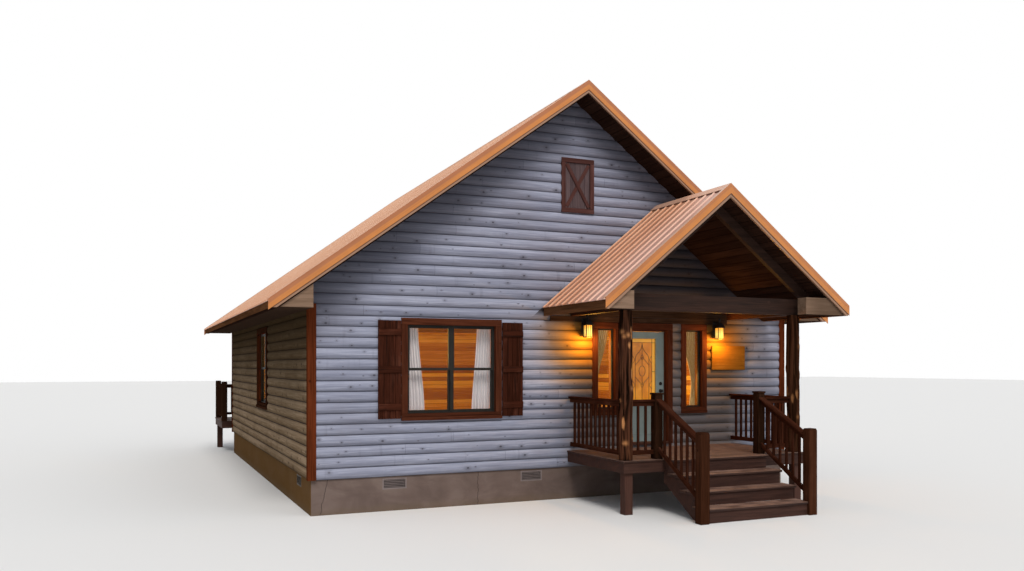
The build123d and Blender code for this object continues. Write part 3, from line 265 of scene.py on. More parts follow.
def front_shade_and_lamplight(f, x, y, z, colour):
    """The front's painted light and shade: brown painted shade under the porch, painted pools of amber
    lamplight round its lamps, and painted shade at the top of both gables.
    """
    front = y < FRONT + 0.1
    slopes = f.maths("MAXIMUM", (PORCH_RIDGE_X - x) * (PORCH_RISE / PORCH_HALVES[0]),
                     (x - PORCH_RIDGE_X) * (PORCH_RISE / PORCH_HALVES[1]))
    lamp = 9.0
    for lamp_x in LANTERN_X:
        across, up = x - lamp_x, z - 2.75
        lamp = f.maths("MINIMUM", lamp, f.maths("SQRT", across * across + up * up))
    # Painted shade at the top of the porch's gable, under the porch roof
    gable = f.between(z, 3.12, 3.26) * (z < PORCH_RIDGE_Z - slopes) * front
    # Painted shade under the porch: brown, darker and warm like the lamplight
    porch = f.between(x, -0.45, 0.35) * f.between(x, 3.25, 3.85, 1.0, 0.0) * (z < 3.2) * front
    brown = f.mix(0.62, colour, (0.215, 0.160, 0.115))
    colour = f.mix(porch, colour, f.mix(0.35, brown, (0.0, 0.0, 0.0)))
    # Painted pools of amber lamplight round the lanterns
    colour = f.mix(f.between(lamp, 0.20, 1.15, 1.0, 0.0) * front, colour, (0.95, 0.50, 0.07), "MULTIPLY")
    colour = f.mix(gable * 0.90, colour, (0.022, 0.012, 0.009))
    # Painted shade at the top of the main gable, under its eave
    eave = 7.0 - abs(x) * MAIN_PITCH - z
    return f.mix(f.between(eave, 0.15, 1.25, 0.72, 0.0) * front, colour, (0.035, 0.033, 0.045))


def half_logs(name, along, stops, low_tint, eave_shade=0.0, painted_relief=1.0, sheen=0.15):
    """Stained half logs outside, with their round faces, and pine boards on the room side."""
    f = Finish(name)
    x, y, z = f.split(f.place())
    run = y if along == Y else x
    level = (z - STEM_TOP) / COURSE
    course = f.maths("FLOOR", level)
    within = level - course
    shift = f.scatter(course) * 9.0
    seam = f.maths("MINIMUM", within, 1.0 - within) * COURSE

    # Knots with soft pale rings, and the grain bent round them
    heart, ring, bend = 0.0, 0.0, 0.0
    knot_rows = ((0.47, 3.1, 0.64, 0.008, 0.020), (0.31, 11.7, 0.74, 0.004, 0.010))
    for spacing, offset, chosen, small, large in knot_rows:
        away, size, there = knot_row(f, run + shift, within, course, spacing, offset, chosen, small, large)
        heart = heart + f.between(away, size * 0.55, size, 1.0, 0.0) * there
        ring = ring + f.between(away, size, size * 3.4, 1.0, 0.0) * there
        bend = bend + f.between(away, 0.0, size * 4.5, 1.0, 0.0) * there

    # Log ends, a few metres apart in each course
    length = 4.88
    cut = f.maths("FRACT", (run + shift) / length)
    butt = f.maths("MINIMUM", cut, 1.0 - cut) * length
    tone = f.scatter(f.maths("FLOOR", (run + shift) / length) + course * 7.3)

    fine = f.noise(f.join(run * 1.7 + shift, z * 62.0 + bend * 0.9, course),
                   detail=8.0, roughness=0.66, twist=0.45)
    broad = f.noise(f.join(run * 0.7 + shift, z * 13.0 + bend * 0.5, course * 3.0),
                    detail=5.0, roughness=0.6)
    patches = f.noise(f.join(run * 0.8, z * 1.1, 3.0), detail=4.0)
    drips = f.noise(f.join(run * 7.0, z * 0.6, course), detail=4.0)

    stain = f.ramp(fine * 0.55 + broad * 0.45 + (tone - 0.5) * 0.10, stops)
    weathered = f.mix(f.between(patches, 0.45, 0.75) * 0.45, stain, low_tint)
    streaked = f.mix(f.between(drips, 0.60, 0.78) * 0.30, weathered, scaled(low_tint, 0.45))
    ringed = f.mix(ring * 0.35, streaked, scaled(low_tint, 0.50))
    knotted = f.mix(heart * 0.80, ringed, (0.045, 0.040, 0.052))

    # Painted shade on the under side of each log and a painted highlight on its crest; the seams are nearly
    # black
    under = f.between(within, 0.0, 0.46, 1.0, 0.0)
    painted_crest_highlight = f.between(abs(within - 0.74), 0.0, 0.22, 1.0, 0.0)
    shaded = f.mix(under * (0.36 * painted_relief), knotted, scaled(low_tint, 0.24))
    lit = f.mix(painted_crest_highlight * (0.22 * painted_relief), shaded, stops[-1][1])
    crevice = f.between(seam, 0.001, 0.011, 1.0, 0.0)
    seamed = f.mix(crevice * 0.88, lit, (0.022, 0.021, 0.032))
    colour = f.mix(f.between(butt, 0.0012, 0.0035, 0.6, 0.0), seamed, (0.03, 0.03, 0.045))

    if along == X:
        colour = front_shade_and_lamplight(f, x, y, z, colour)
    if eave_shade:
        # Painted shade: the long side darkens toward its deep eave
        colour = f.mix(f.between(z, 1.2, 3.15) * eave_shade, colour, (0.030, 0.018, 0.008))

    pine, pine_height = knotty_pine(f, run, z)
    indoors = (y > FRONT + 0.07) * (y < BACK - 0.07) * (abs(x) < RIGHT - 0.07)

    # The round of each log, turned from its position so that it doesn't depend on the facets
    facing = f.split(f.normal())[1 if along == X else 0]
    way = f.maths("SIGN", facing)
    tilt = (within - 0.5) * 1.20
    level_part, rise_part = f.maths("COSINE", tilt) * way, f.maths("SINE", tilt)
    round_face = f.join(0.0, level_part, rise_part) if along == X else f.join(level_part, 0.0, rise_part)
    shaped = f.turn(f.between(abs(facing), 0.6, 0.8) * (1.0 - indoors), f.normal(), round_face)
    log_height = fine * 0.9 + broad * 0.6 - crevice * 0.8 - heart * 0.5
    height = (1.0 - indoors) * log_height + indoors * pine_height
    return f.surface(
        Base_Color=f.mix(indoors, colour, pine),
        Roughness=f.between(fine, 0.3, 0.8, 0.60, 0.80),
        Specular_IOR_Level=sheen,
        Normal=f.bump(height, strength=0.6, depth=0.004, under=shaped),
    )


def knotty_pine(f, run, rise, board=0.11):
    """Colour and height of varnished pine boards, laid along run and stacked up rise."""
    level = rise / board
    row = f.maths("FLOOR", level)
    within = level - row
    gap = f.maths("MINIMUM", within, 1.0 - within) * board
    shift = f.scatter(row) * 7.0
    grain = f.noise(f.join(run * 1.8 + shift, rise * 45.0, row), detail=5.0, twist=0.5)
    knots = f.cells(f.join(run + shift, rise + row * 0.3, row), scale=2.6)
    spot = f.between(knots, 0.02, 0.06, 1.0, 0.0)
    colour = f.ramp(grain * 0.6 + f.scatter(row + 0.5) * 0.4, [
        (0.30, (0.36, 0.130, 0.010)), (0.5, (0.64, 0.29, 0.026)), (0.70, (0.92, 0.56, 0.08))])
    colour = f.mix(spot * 0.7, colour, (0.20, 0.06, 0.012))
    groove = f.between(gap, 0.0, 0.008, 1.0, 0.0)
    return f.mix(groove * 0.8, colour, (0.14, 0.040, 0.008)), grain * 0.3 - groove


def stained_boards(name, dark, light, worn, wear=0.25, rough=0.62, depth=0.0025, black=0.0):
    """Stained timber on boards that carry their own grain coordinates."""
    f = Finish(name)
    u, v, tone = f.grain()
    fine = f.noise(f.join(u * 2.0, v * 95.0, tone * 40.0), detail=7.0, roughness=0.6, twist=0.4)
    broad = f.noise(f.join(u * 1.1, v * 14.0, tone * 23.0), detail=4.0, twist=0.8)
    patches = f.noise(f.join(u * 2.5, v * 3.0, tone * 11.0), detail=3.0)
    streaks = f.noise(f.join(u * 1.6, v * 24.0, tone * 17.0), detail=5.0, roughness=0.65)
    knots = f.cells(f.join(u * 1.0, v * 1.6, tone * 31.0), scale=2.4)
    size = f.split(knots.out("Color"))[0]
    heart = f.between(knots, size * 0.035, size * 0.07 + 0.012, 1.0, 0.0) * (size > 0.5)
    body = f.mix(f.between(fine * 0.55 + broad * 0.45, 0.32, 0.68), dark, light)
    body = f.mix(tone * 0.40, body, scaled(dark, 0.55))
    body = f.mix(f.between(patches, 0.50, 0.78) * f.between(fine, 0.35, 0.6) * wear, body, worn)
    if black:
        body = f.mix(f.between(streaks, 0.52, 0.66) * black, body, (0.010, 0.006, 0.005))
    body = f.mix(heart * 0.7, body, scaled(dark, 0.3))
    # The casing of the left wall's window stands in the eave's shade
    x, y, _ = f.split(f.place())
    body = f.mix((x < LEFT - 0.005) * (y > 0.3) * 0.62, body, (0.020, 0.010, 0.005))
    return f.surface(
        Base_Color=body,
        Roughness=f.between(patches, 0.3, 0.7, rough - 0.08, rough + 0.12),
        Specular_IOR_Level=0.0,
        Normal=f.bump(fine * 0.8 + broad * 0.6 - heart * 0.4, strength=0.6, depth=depth),
    )


def walked_boards(name, dark, light, worn, scuffed):
    """Deck and stair boards: dark stain on the edges, trodden pale on top."""
    f = Finish(name)
    u, v, tone = f.grain()
    up = f.between(f.split(f.normal())[2], 0.5, 0.9)
    fine = f.noise(f.join(u * 2.0, v * 80.0, tone * 40.0), detail=7.0, roughness=0.62, twist=0.4)
    broad = f.noise(f.join(u * 1.3, v * 9.0, tone * 23.0), detail=4.0, twist=0.6)
    feet = f.noise(f.join(u * 3.0, v * 2.5, tone * 5.0), detail=4.0)
    body = f.mix(f.between(fine * 0.5 + broad * 0.5, 0.32, 0.68), dark, light)
    body = f.mix(tone * 0.35, body, scaled(dark, 0.55))
    trodden = f.mix(f.between(fine * 0.4 + feet * 0.6, 0.36, 0.62), worn, scuffed)
    body = f.mix(up * f.between(feet, 0.25, 0.55, 0.55, 0.95), body, trodden)
    return f.surface(
        Base_Color=body,
        Roughness=f.between(feet, 0.3, 0.7, 0.56, 0.74),
        Specular_IOR_Level=0.20,
        Normal=f.bump(fine * 0.8 + broad * 0.5, strength=0.6, depth=0.0025),
    )


def sawn_frame(name, along, dark, light, rough=0.66, boards=0.0, stack=None, hewn=0.0, underside_shade=0.0, sheen=0.12):
    """Stained timber on pieces of the frame, its grain along one axis, with board seams if asked."""
    f = Finish(name)
    parts = f.split(f.place())
    run = parts[along]
    others = [parts[i] for i in range(3) if i != along]
    tone = 0.5
    seam = 0.0
    if boards:
        level = parts[stack] / boards
        row = f.maths("FLOOR", level)
        within = level - row
        seam = f.between(f.maths("MINIMUM", within, 1.0 - within) * boards, 0.0015, 0.006, 1.0, 0.0)
        tone = f.scatter(row)
        run = run + tone * 5.0
    fine = f.noise(f.join(run * 2.0, others[0] * 70.0, others[1] * 70.0),
                   detail=6.0, roughness=0.6, twist=0.3)
    broad = f.noise(f.join(run * 0.9, others[0] * 9.0, others[1] * 9.0), detail=4.0, twist=0.6)
    knots = f.cells(f.join(run * 0.8, others[0], others[1]), scale=2.2)
    heart = f.between(knots, 0.02, 0.055, 1.0, 0.0)
    body = f.mix(f.between(fine * 0.5 + broad * 0.5, 0.32, 0.68), dark, light)
    body = f.mix(heart * 0.6, body, scaled(dark, 0.35))
    height = fine * 0.7 + broad * 0.6 - seam * 1.5
    if hewn:
        # Shallow flats left by the axe, and pale rings round the knots
        flats = f.cells(f.join(run * 2.4, others[0] * 5.0, others[1] * 5.0), scale=1.0)
        halo = f.between(knots, 0.05, 0.13, 1.0, 0.0) - heart
        body = f.mix(halo * 0.5, body, scaled(light, 2.2))
        height = height + flats * hewn
    if underside_shade:
        # Painted shade: the under side is dark, and so is the far right end
        down = f.between(f.split(f.normal())[2], -0.8, -0.5, 1.0, 0.0)
        body = f.mix(down * underside_shade, body, (0.030, 0.017, 0.012))
        body = f.mix(f.between(parts[X], 3.0, 3.6, 0.0, 0.6), body, scaled(dark, 0.45))
    if boards:
        body = f.mix(tone * 0.4, body, scaled(dark, 0.5))
        body = f.mix(seam * 0.85, body, scaled(dark, 0.15))
    return f.surface(
        Base_Color=body,
        Roughness=f.between(broad, 0.3, 0.7, rough - 0.08, rough + 0.1),
        Specular_IOR_Level=sheen,
        Normal=f.bump(height, strength=0.6, depth=0.003),
    )


def ribbed_metal(name, pan, deep, rib):
    """Painted roof sheets: streaks down the slope, painted highlights on the ribs with painted shade lines
    beside them, and a painted sky reflection on the near part of the porch roof.
    """
    f = Finish(name)
    x, y, z = f.split(f.place())
    porch = z < 6.75 - abs(x) * MAIN_PITCH
    rows = []
    for front, back in ((FRONT - RAKE_OVERHANG, BACK + RAKE_OVERHANG), (PORCH_FRONT, LOG_FACE)):
        ribs = int((back - front - RIB_BASE) // RIB_SPACING) + 1
        middle = (front + back) / 2 - (ribs - 1) / 2 * RIB_SPACING
        level = (y - middle) / RIB_SPACING + 0.5
        rows.append(abs(level - f.maths("FLOOR", level) - 0.5) * RIB_SPACING)
    away = rows[0] * (1.0 - porch) + rows[1] * porch
    # Painted highlight on the rib tops and a painted shade line beside each rib
    top = f.between(away, 0.006, 0.016, 1.0, 0.0)
    foot = f.between(abs(away - 0.030), 0.0, 0.007, 1.0, 0.0)
    cloud = f.noise(f.join(x * 0.5, y * 0.5, z * 0.5), detail=4.0)
    streak = f.noise(f.join(x * 0.7, y * 16.0, z * 0.7), detail=5.0, roughness=0.6)
    speck = f.noise(f.join(x, y, z), scale=60.0, detail=2.0)
    body = f.mix(f.between(streak * 0.6 + cloud * 0.4, 0.34, 0.66), deep, pan)
    weathered = (1.0 - porch) * f.between(streak, 0.35, 0.65, 0.15, 0.40)
    body = f.mix(weathered, body, scaled(deep, 0.55))
    # Painted sky reflection, paler toward the near part of the porch roof
    sheen = f.between(y, -0.9, -2.1) * porch
    body = f.mix(sheen * 0.55, body, (0.66, 0.45, 0.40))
    body = f.mix(foot * 0.30, body, scaled(deep, 0.5))
    body = f.mix(top * f.between(streak, 0.25, 0.6, 0.65, 1.0), body, rib)
    body = f.mix(f.between(speck, 0.62, 0.75) * 0.25, body, scaled(deep, 0.6))
    return f.surface(
        Base_Color=body,
        Metallic=0.25,
        Roughness=f.between(cloud * 0.5 + streak * 0.5, 0.3, 0.7, 0.32, 0.52),
        Normal=f.bump(cloud * 0.8 + streak * 0.3, strength=0.35, depth=0.004),
    )


def folded_metal(name, base, deep, gloss=0.42):
    """Painted folded trim with dull patches along it and a painted highlight on its upward faces."""
    f = Finish(name)
    x, y, z = f.split(f.place())
    cloud = f.noise(f.join(x * 1.4, y * 1.4, z * 1.4), detail=5.0, roughness=0.6)
    long_streak = f.noise(f.join(x * 0.5, y * 9.0, z * 0.7), detail=4.0)
    speck = f.noise(f.join(x, y, z), scale=70.0, detail=2.0)
    up = f.between(f.split(f.normal())[2], 0.35, 0.85)
    body = f.mix(f.between(cloud * 0.6 + long_streak * 0.4, 0.34, 0.66), deep, base)
    # Painted highlight: the upward faces are lighter
    body = f.mix(up * 0.55, body, tuple(min(0.9, 1.35 * c + 0.10) for c in base))
    body = f.mix(f.between(speck, 0.62, 0.75) * 0.3, body, scaled(deep, 0.55))
    return f.surface(
        Base_Color=body,
        Metallic=0.25,
        Roughness=f.between(cloud, 0.3, 0.7, gloss - 0.05, gloss + 0.18),
        Normal=f.bump(cloud, strength=0.35, depth=0.005),
    )


def rake_metal(name, upper, lower):
    """The folded trim on the raking edges: duller near the roof, brighter below, with a painted highlight on
    its upward faces and a painted shadow line under its hem, above the board's tan edge.
    """
    f = Finish(name)
    x, y, z = f.split(f.place())
    under, porch = f.under_roof()
    cloud = f.noise(f.join(x * 1.4, y * 1.4, z * 1.4), detail=5.0, roughness=0.6)
    drawn = f.noise(f.join(x * 0.6, y * 3.0, under * 60.0), detail=4.0)
    speck = f.noise(f.join(x, y, z), scale=70.0, detail=2.0)
    up = f.between(f.split(f.normal())[2], 0.35, 0.85)
    fold = f.between(under + drawn * 0.012, 0.022, 0.058) * (1.0 - porch * 0.35) + porch * 0.35
    body = f.mix(fold, upper, lower)
    body = f.mix(f.between(cloud * 0.5 + drawn * 0.5, 0.38, 0.68) * 0.35, body, scaled(upper, 0.55))
    # Painted highlight: the upward faces are lighter
    body = f.mix(up * 0.75, body, (0.80, 0.56, 0.44))
    # Painted shadow line under the trim's hem, and the board's tan edge below it
    shadow = f.between(abs(under - 0.110), 0.004, 0.010, 1.0, 0.0)
    lip = f.between(under, 0.114, 0.120)
    body = f.mix(lip, body, (0.30, 0.165, 0.10))
    body = f.mix(shadow * 0.85, body, (0.03, 0.012, 0.008))
    body = f.mix(f.between(speck, 0.62, 0.75) * 0.3, body, scaled(upper, 0.55))
    return f.surface(
        Base_Color=body,
        Metallic=0.15,
        Roughness=f.between(cloud, 0.3, 0.7, 0.40, 0.60),
        Normal=f.bump(cloud + drawn * 0.3, strength=0.35, depth=0.004),
    )


def rendered_foundation():
    """Parged concrete: trowel marks, damp at the foot, painted warm light and shade on the left face, and
    hairline cracks.
    """
    f = Finish("rendered_foundation")
    place = f.place()
    x, y, z = f.split(place)
    trowel = f.noise(f.join(x * 1.6, y * 1.6, z * 3.2), detail=6.0, roughness=0.6, twist=0.6)
    grit = f.noise(place, scale=90.0, detail=3.0)
    stain = f.noise(f.join(x * 1.1, y * 1.1, z * 0.45), detail=4.0)
    line = 0.0
    for foot_x, lean in ((-4.44, 0.22), (-1.82, 0.0)):
        ragged = (f.noise(f.join(0.0, foot_x, z), scale=9.0, detail=5.0) - 0.5) * 0.10
        split = abs(x - foot_x - z * lean - ragged)
        line = f.maths("MAXIMUM", line, f.between(split, 0.001, 0.005, 1.0, 0.0) * (y < 0.0))
    body = f.ramp(trowel * 0.5 + stain * 0.5, [
        (0.30, (0.092, 0.066, 0.056)), (0.5, (0.150, 0.108, 0.092)), (0.72, (0.225, 0.170, 0.145))])
    # Painted warm light and shade: the left face is browner and darker
    left = x < LEFT + 0.025
    body = f.mix(left * 0.80, body, (0.125, 0.062, 0.014))
    damp = f.between(z + trowel * 0.16, 0.04, 0.24, 1.0, 0.0)
    body = f.mix(damp * 0.55, body, (0.150, 0.110, 0.070))
    body = f.mix(line * 0.85, body, (0.02, 0.016, 0.015))
    return f.surface(
        Base_Color=body,
        Roughness=f.between(grit, 0.3, 0.7, 0.82, 0.95),
        Specular_IOR_Level=0.0,
        Normal=f.bump(trowel + grit * 0.35 - line * 2.0, strength=0.6, depth=0.006),
    )


def cedar_bark():
    """A peeled, gnarled log: dark ridges, red-brown hollows and bare pale wood where knots broke."""
    f = Finish("cedar_bark")
    place = f.place()
    x, y, z = f.split(place)
    bare = f.node("ShaderNodeAttribute", {"attribute_name": "bare"}, output="Fac")
    ridge = f.node("ShaderNodeAttribute", {"attribute_name": "ridge"}, output="Fac")
    fibre = f.noise(f.join(x * 55.0, y * 55.0, z * 3.0), detail=6.0, roughness=0.65, twist=0.5)
    strip = f.noise(f.join(x * 22.0, y * 22.0, z * 1.6), detail=5.0, roughness=0.6, twist=0.8)
    blotch = f.noise(f.join(x * 9.0, y * 9.0, z * 2.2), detail=5.0)
    body = f.mix(f.between(ridge * 0.5 + fibre * 0.3 + strip * 0.2, 0.28, 0.72),
                 (0.006, 0.003, 0.002), (0.085, 0.032, 0.017))
    body = f.mix(f.between(strip, 0.52, 0.68) * 0.50, body, (0.150, 0.062, 0.030))
    body = f.mix(f.between(blotch, 0.54, 0.7) * 0.45, body, (0.022, 0.011, 0.008))
    body = f.mix(bare * f.between(fibre, 0.3, 0.6, 0.6, 1.0), body, (0.50, 0.22, 0.085))
    # Painted shade: the right post is darker
    body = f.mix(f.between(x, 2.0, 3.0, 0.0, 0.55), body, (0.022, 0.008, 0.003))
    return f.surface(
        Base_Color=body,
        Roughness=f.between(fibre, 0.3, 0.7, 0.6, 0.82),
        Specular_IOR_Level=0.0,
        Normal=f.bump(fibre + strip * 0.8 + blotch * 0.6, strength=1.0, depth=0.012),
    )


def smooth_paint(name, colour, gloss, grime=0.35):
    """Brushed-on paint with faint strokes and worn darker patches. The left wall's vent is darker with
    painted shade.
    """
    f = Finish(name)
    x, y, z = f.split(f.place())
    strokes = f.noise(f.join(x * 6.0, y * 6.0, z * 6.0), detail=5.0)
    fine = f.noise(f.join(x * 90.0, y * 90.0, z * 14.0), detail=3.0)
    body = f.mix(f.between(strokes, 0.4, 0.75) * grime, colour, scaled(colour, 0.55))
    # Painted shade on the left wall's vent
    body = f.mix((x < LEFT + 0.1) * (z < 0.55) * 0.8, body, (0.030, 0.022, 0.010))
    return f.surface(
        Base_Color=body,
        Roughness=f.between(strokes, 0.3, 0.7, gloss - 0.06, gloss + 0.14),
        Specular_IOR_Level=0.20,
        Normal=f.bump(fine * 0.6 + strokes * 0.4, strength=0.25, depth=0.0015),
    )


def bronze_sash():
    """Dark bronze paint outside, and varnished pine on the room side of the frames."""
    f = Finish("bronze_sash")
    x, y, z = f.split(f.place())
    strokes = f.noise(f.join(x * 8.0, y * 8.0, z * 8.0), detail=5.0)
    narrow = (x > 0.3) * (y < 1.0)
    depth = 0.106 - narrow * 0.034
    indoors = (y > FRONT + depth) * (y < BACK - depth) * (abs(x) < RIGHT - depth)
    pine, height = knotty_pine(f, z, x + y, 0.20)
    paint_colour = f.mix(f.between(strokes, 0.4, 0.75) * 0.4, (0.021, 0.019, 0.016), (0.011, 0.010, 0.009))
    return f.surface(
        Base_Color=f.mix(indoors, paint_colour, pine),
        Roughness=f.between(strokes, 0.3, 0.7, 0.45, 0.62),
        Specular_IOR_Level=0.12,
        Normal=f.bump(strokes * 0.5 + height * indoors * 0.3, strength=0.3, depth=0.002),
    )


def clear_pane():
    """Window glass, seen through except for its faintly rippled gloss."""
    f = Finish("clear_pane")
    ripple = f.noise(f.place(), scale=2.5, detail=2.0)
    return f.surface(
        Base_Color=(0.03, 0.035, 0.035),
        Roughness=0.04,
        Alpha=0.10,
        Normal=f.bump(ripple, strength=0.12, depth=0.004),
    )


def amber_pane():
    """Textured amber glass with a painted glow for the light from indoors."""
    f = Finish("amber_pane")
    place = f.place()
    x, _, z = f.split(place)
    swirl = f.noise(place, scale=3.2, detail=3.0, twist=0.8)
    hammer = f.cells(place, scale=85.0)
    body = f.ramp(swirl, [
        (0.3, (0.46, 0.130, 0.004)), (0.5, (0.60, 0.195, 0.007)), (0.75, (0.76, 0.295, 0.018))])
    half_height, middle = (LITE_UP[1] - LITE_UP[0]) / 2, (LITE_UP[1] + LITE_UP[0]) / 2
    border = f.maths("MINIMUM", LITE_HALF - abs(x - DOOR_X), half_height - abs(z - middle))
    body = f.mix(f.between(border, 0.062, 0.072, 0.55, 0.0), body, (0.88, 0.46, 0.045))
    return f.surface(
        Base_Color=body,
        Roughness=0.22,
        # Painted glow for the room's light behind the glass
        Emission_Color=body,
        Emission_Strength=0.40,
        Normal=f.bump(hammer + swirl * 0.5, strength=0.4, depth=0.002),
    )


def lamp_pane():
    """Frosted lantern glass round a warm flame."""
    f = Finish("lamp_pane")
    place = f.place()
    z = f.split(place)[2]
    low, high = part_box("lantern_glass")[0].z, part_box("lantern_glass")[1].z
    glow = f.between(abs(z - (low * 0.6 + high * 0.4)), 0.0, (high - low) * 0.62, 1.0, 0.15)
    colour = f.mix(glow, (1.0, 0.34, 0.02), (1.0, 0.70, 0.16))
    return f.surface(
        Base_Color=(0.10, 0.03, 0.004),
        Roughness=0.3,
        Alpha=0.9,
        Emission_Color=colour,
        Emission_Strength=1.6,
        Normal=f.bump(f.noise(place, scale=40.0, detail=2.0), strength=0.2, depth=0.002),
    )


def cotton(name, colour, shade, lit, pleats):
    """Plain curtain cloth with painted shade in its pleats and a painted glow for the room's light coming
    through.
    """
    f = Finish(name)
    along = f.node("ShaderNodeUVMap", {"uv_map": "grain"})
    u, v, _ = f.split(along)
    pleat = f.maths("SINE", u * (pleats * 2 * math.pi) + f.noise(f.join(u * 2.0, v * 1.5, 0.0)))
    slub = f.noise(f.join(u * 60.0, v * 9.0, 0.0), detail=3.0)
    # Painted shade in the pleats
    colour_seen = f.mix(f.between(pleat * 0.3 + slub, 0.25, 0.80), shade, colour)
    return f.surface(
        Base_Color=colour_seen,
        # Painted glow for the room's light through the cloth
        Roughness=0.9,
        Emission_Color=colour_seen,
        Emission_Strength=lit,
        Normal=f.bump(slub + pleat * 0.4, strength=0.3, depth=0.002),
    )


# Pieces

def put(name, mesh, finish, slot, *stood_for, body="root", smooth=False):
    """Makes a bmesh into a named piece that rides on a body and may stand for nodes of the frame."""
    data = bpy.data.meshes.new(name)
    mesh.to_mesh(data)
    mesh.free()
    data.materials.append(finish)
    piece = bpy.data.objects.new(name, data)
    bpy.context.scene.collection.objects.link(piece)
    for face in data.polygons:
        face.use_smooth = smooth
    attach(piece, body)
    if stood_for:
        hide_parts(*stood_for)
    return piece


def paint(finish, *names):
    """Gives nodes of the frame a finish."""
    for name in names:
        data = nodes[name].data
        data.materials.clear()
        data.materials.append(finish)


class Timber:
    """Boards gathered into one mesh. Each keeps its grain along its own length and has a tone."""

    def __init__(self, seed):
        self.mesh = bmesh.new()
        self.uv = self.mesh.loops.layers.uv.new("grain")
        self.tone = self.mesh.faces.layers.float.new("tone")
        self.random = random.Random(seed)

    def board(self, low, high, grain, bevel=0.003, place=None):
        """A board between two corners with eased edges, turned by place if that is given."""
        verts = bmesh.ops.create_cube(self.mesh, size=1.0)["verts"]
        low, high = Vector(low), Vector(high)
        size = high - low
        bmesh.ops.scale(self.mesh, vec=size, verts=verts)
        bmesh.ops.translate(self.mesh, vec=(low + high) / 2, verts=verts)
        edges = list({edge for vert in verts for edge in vert.link_edges})
        eased = bmesh.ops.bevel(self.mesh, geom=edges, offset=min(bevel, min(size) * 0.3), segments=1,
                                profile=0.5, affect="EDGES", material=-1)
        corners = {vert for face in eased["faces"] for vert in face.verts}
        faces = {face for vert in corners for face in vert.link_faces}
        tone = self.random.random()
        shift = Vector((self.random.uniform(0, 20), self.random.uniform(0, 20)))
        for face in faces:
            face.normal_update()
            face[self.tone] = tone
            facing = max(range(3), key=lambda i: abs(face.normal[i]))
            across = [i for i in range(3) if i not in (grain, facing)][0]
            for loop in face.loops:
                spot = loop.vert.co
                loop[self.uv].uv = (spot[grain] + shift.x, spot[across] + shift.y)
        if place is not None:
            bmesh.ops.transform(self.mesh, matrix=place, verts=list(corners))

    def batten(self, start, end, width, depth, facing, bevel=0.003):
        """A straight board from one point to another, its depth along facing."""
        start, end = Vector(start), Vector(end)
        run = end - start
        along = run.normalized()
        out = (Vector(facing) - Vector(facing).dot(along) * along).normalized()
        side = out.cross(along)
        place = Matrix((
            (along.x, side.x, out.x, start.x),
            (along.y, side.y, out.y, start.y),
            (along.z, side.z, out.z, start.z),
            (0, 0, 0, 1)))
        self.board((0, -width / 2, -depth / 2), (run.length, width / 2, depth / 2), X, bevel, place)

    def piece(self, name, finish, slot, *stood_for, body="root"):
        return put(name, self.mesh, finish, slot, *stood_for, body=body)


# Finishes of the house
grey_stain = [(0.32, (0.150, 0.158, 0.215)), (0.50, (0.262, 0.275, 0.352)), (0.68, (0.43, 0.445, 0.546))]
# The brown stain is the grey one made darker and warm: painted warm light and shade for the left wall, which
# also gets painted eave shade and stronger painted relief
warm_shade_stain = [(0.32, (0.135, 0.088, 0.050)), (0.50, (0.235, 0.163, 0.100)), (0.68, (0.37, 0.270, 0.180))]
siding_front = half_logs("siding_front", X, grey_stain, (0.205, 0.200, 0.240))
siding_left = half_logs("siding_left", Y, warm_shade_stain, (0.100, 0.064, 0.034),
                        eave_shade=0.90, painted_relief=1.5, sheen=0.0)
siding_right = half_logs("siding_right", Y, grey_stain, (0.190, 0.180, 0.205))
trim_stain = stained_boards("trim_stain", (0.036, 0.011, 0.006), (0.112, 0.033, 0.016), (0.16, 0.065, 0.038))
shutter_stain = stained_boards("shutter_stain", (0.022, 0.007, 0.004), (0.078, 0.022, 0.012),
                               (0.15, 0.055, 0.035), 0.45, black=0.60)
tread_stain = walked_boards("tread_stain", (0.026, 0.010, 0.007), (0.066, 0.030, 0.020),
                           (0.100, 0.052, 0.038), (0.27, 0.155, 0.110))
# The deck's finish is a darker copy of the treads': painted shade for the porch
porch_shaded_deck = walked_boards("porch_shaded_deck", (0.022, 0.009, 0.006), (0.058, 0.026, 0.018),
                           (0.070, 0.037, 0.027), (0.17, 0.100, 0.074))
rail_stain = stained_boards("rail_stain", (0.024, 0.007, 0.0035), (0.068, 0.021, 0.011),
                            (0.15, 0.062, 0.038), 0.35, black=0.2)
newel_stain = stained_boards("newel_stain", (0.026, 0.009, 0.004), (0.074, 0.026, 0.013),
                             (0.15, 0.068, 0.040), 0.35, black=0.2)
shaded_newel = stained_boards("shaded_newel", (0.014, 0.006, 0.003), (0.044, 0.017, 0.009),
                              (0.10, 0.048, 0.030), 0.3)
frieze_stain = stained_boards("frieze_stain", (0.024, 0.012, 0.007), (0.070, 0.038, 0.023),
                              (0.12, 0.07, 0.05), 0.3)
hatch_stain = stained_boards("hatch_stain", (0.075, 0.052, 0.055), (0.150, 0.105, 0.105),
                             (0.22, 0.17, 0.17), 0.3)
hatch_trim = stained_boards("hatch_trim", (0.060, 0.024, 0.020), (0.135, 0.060, 0.052),
                            (0.20, 0.11, 0.10), 0.3)
plaque_pine = stained_boards("plaque_pine", (0.20, 0.080, 0.010), (0.32, 0.140, 0.018),
                             (0.44, 0.24, 0.05), 0.4, 0.42)

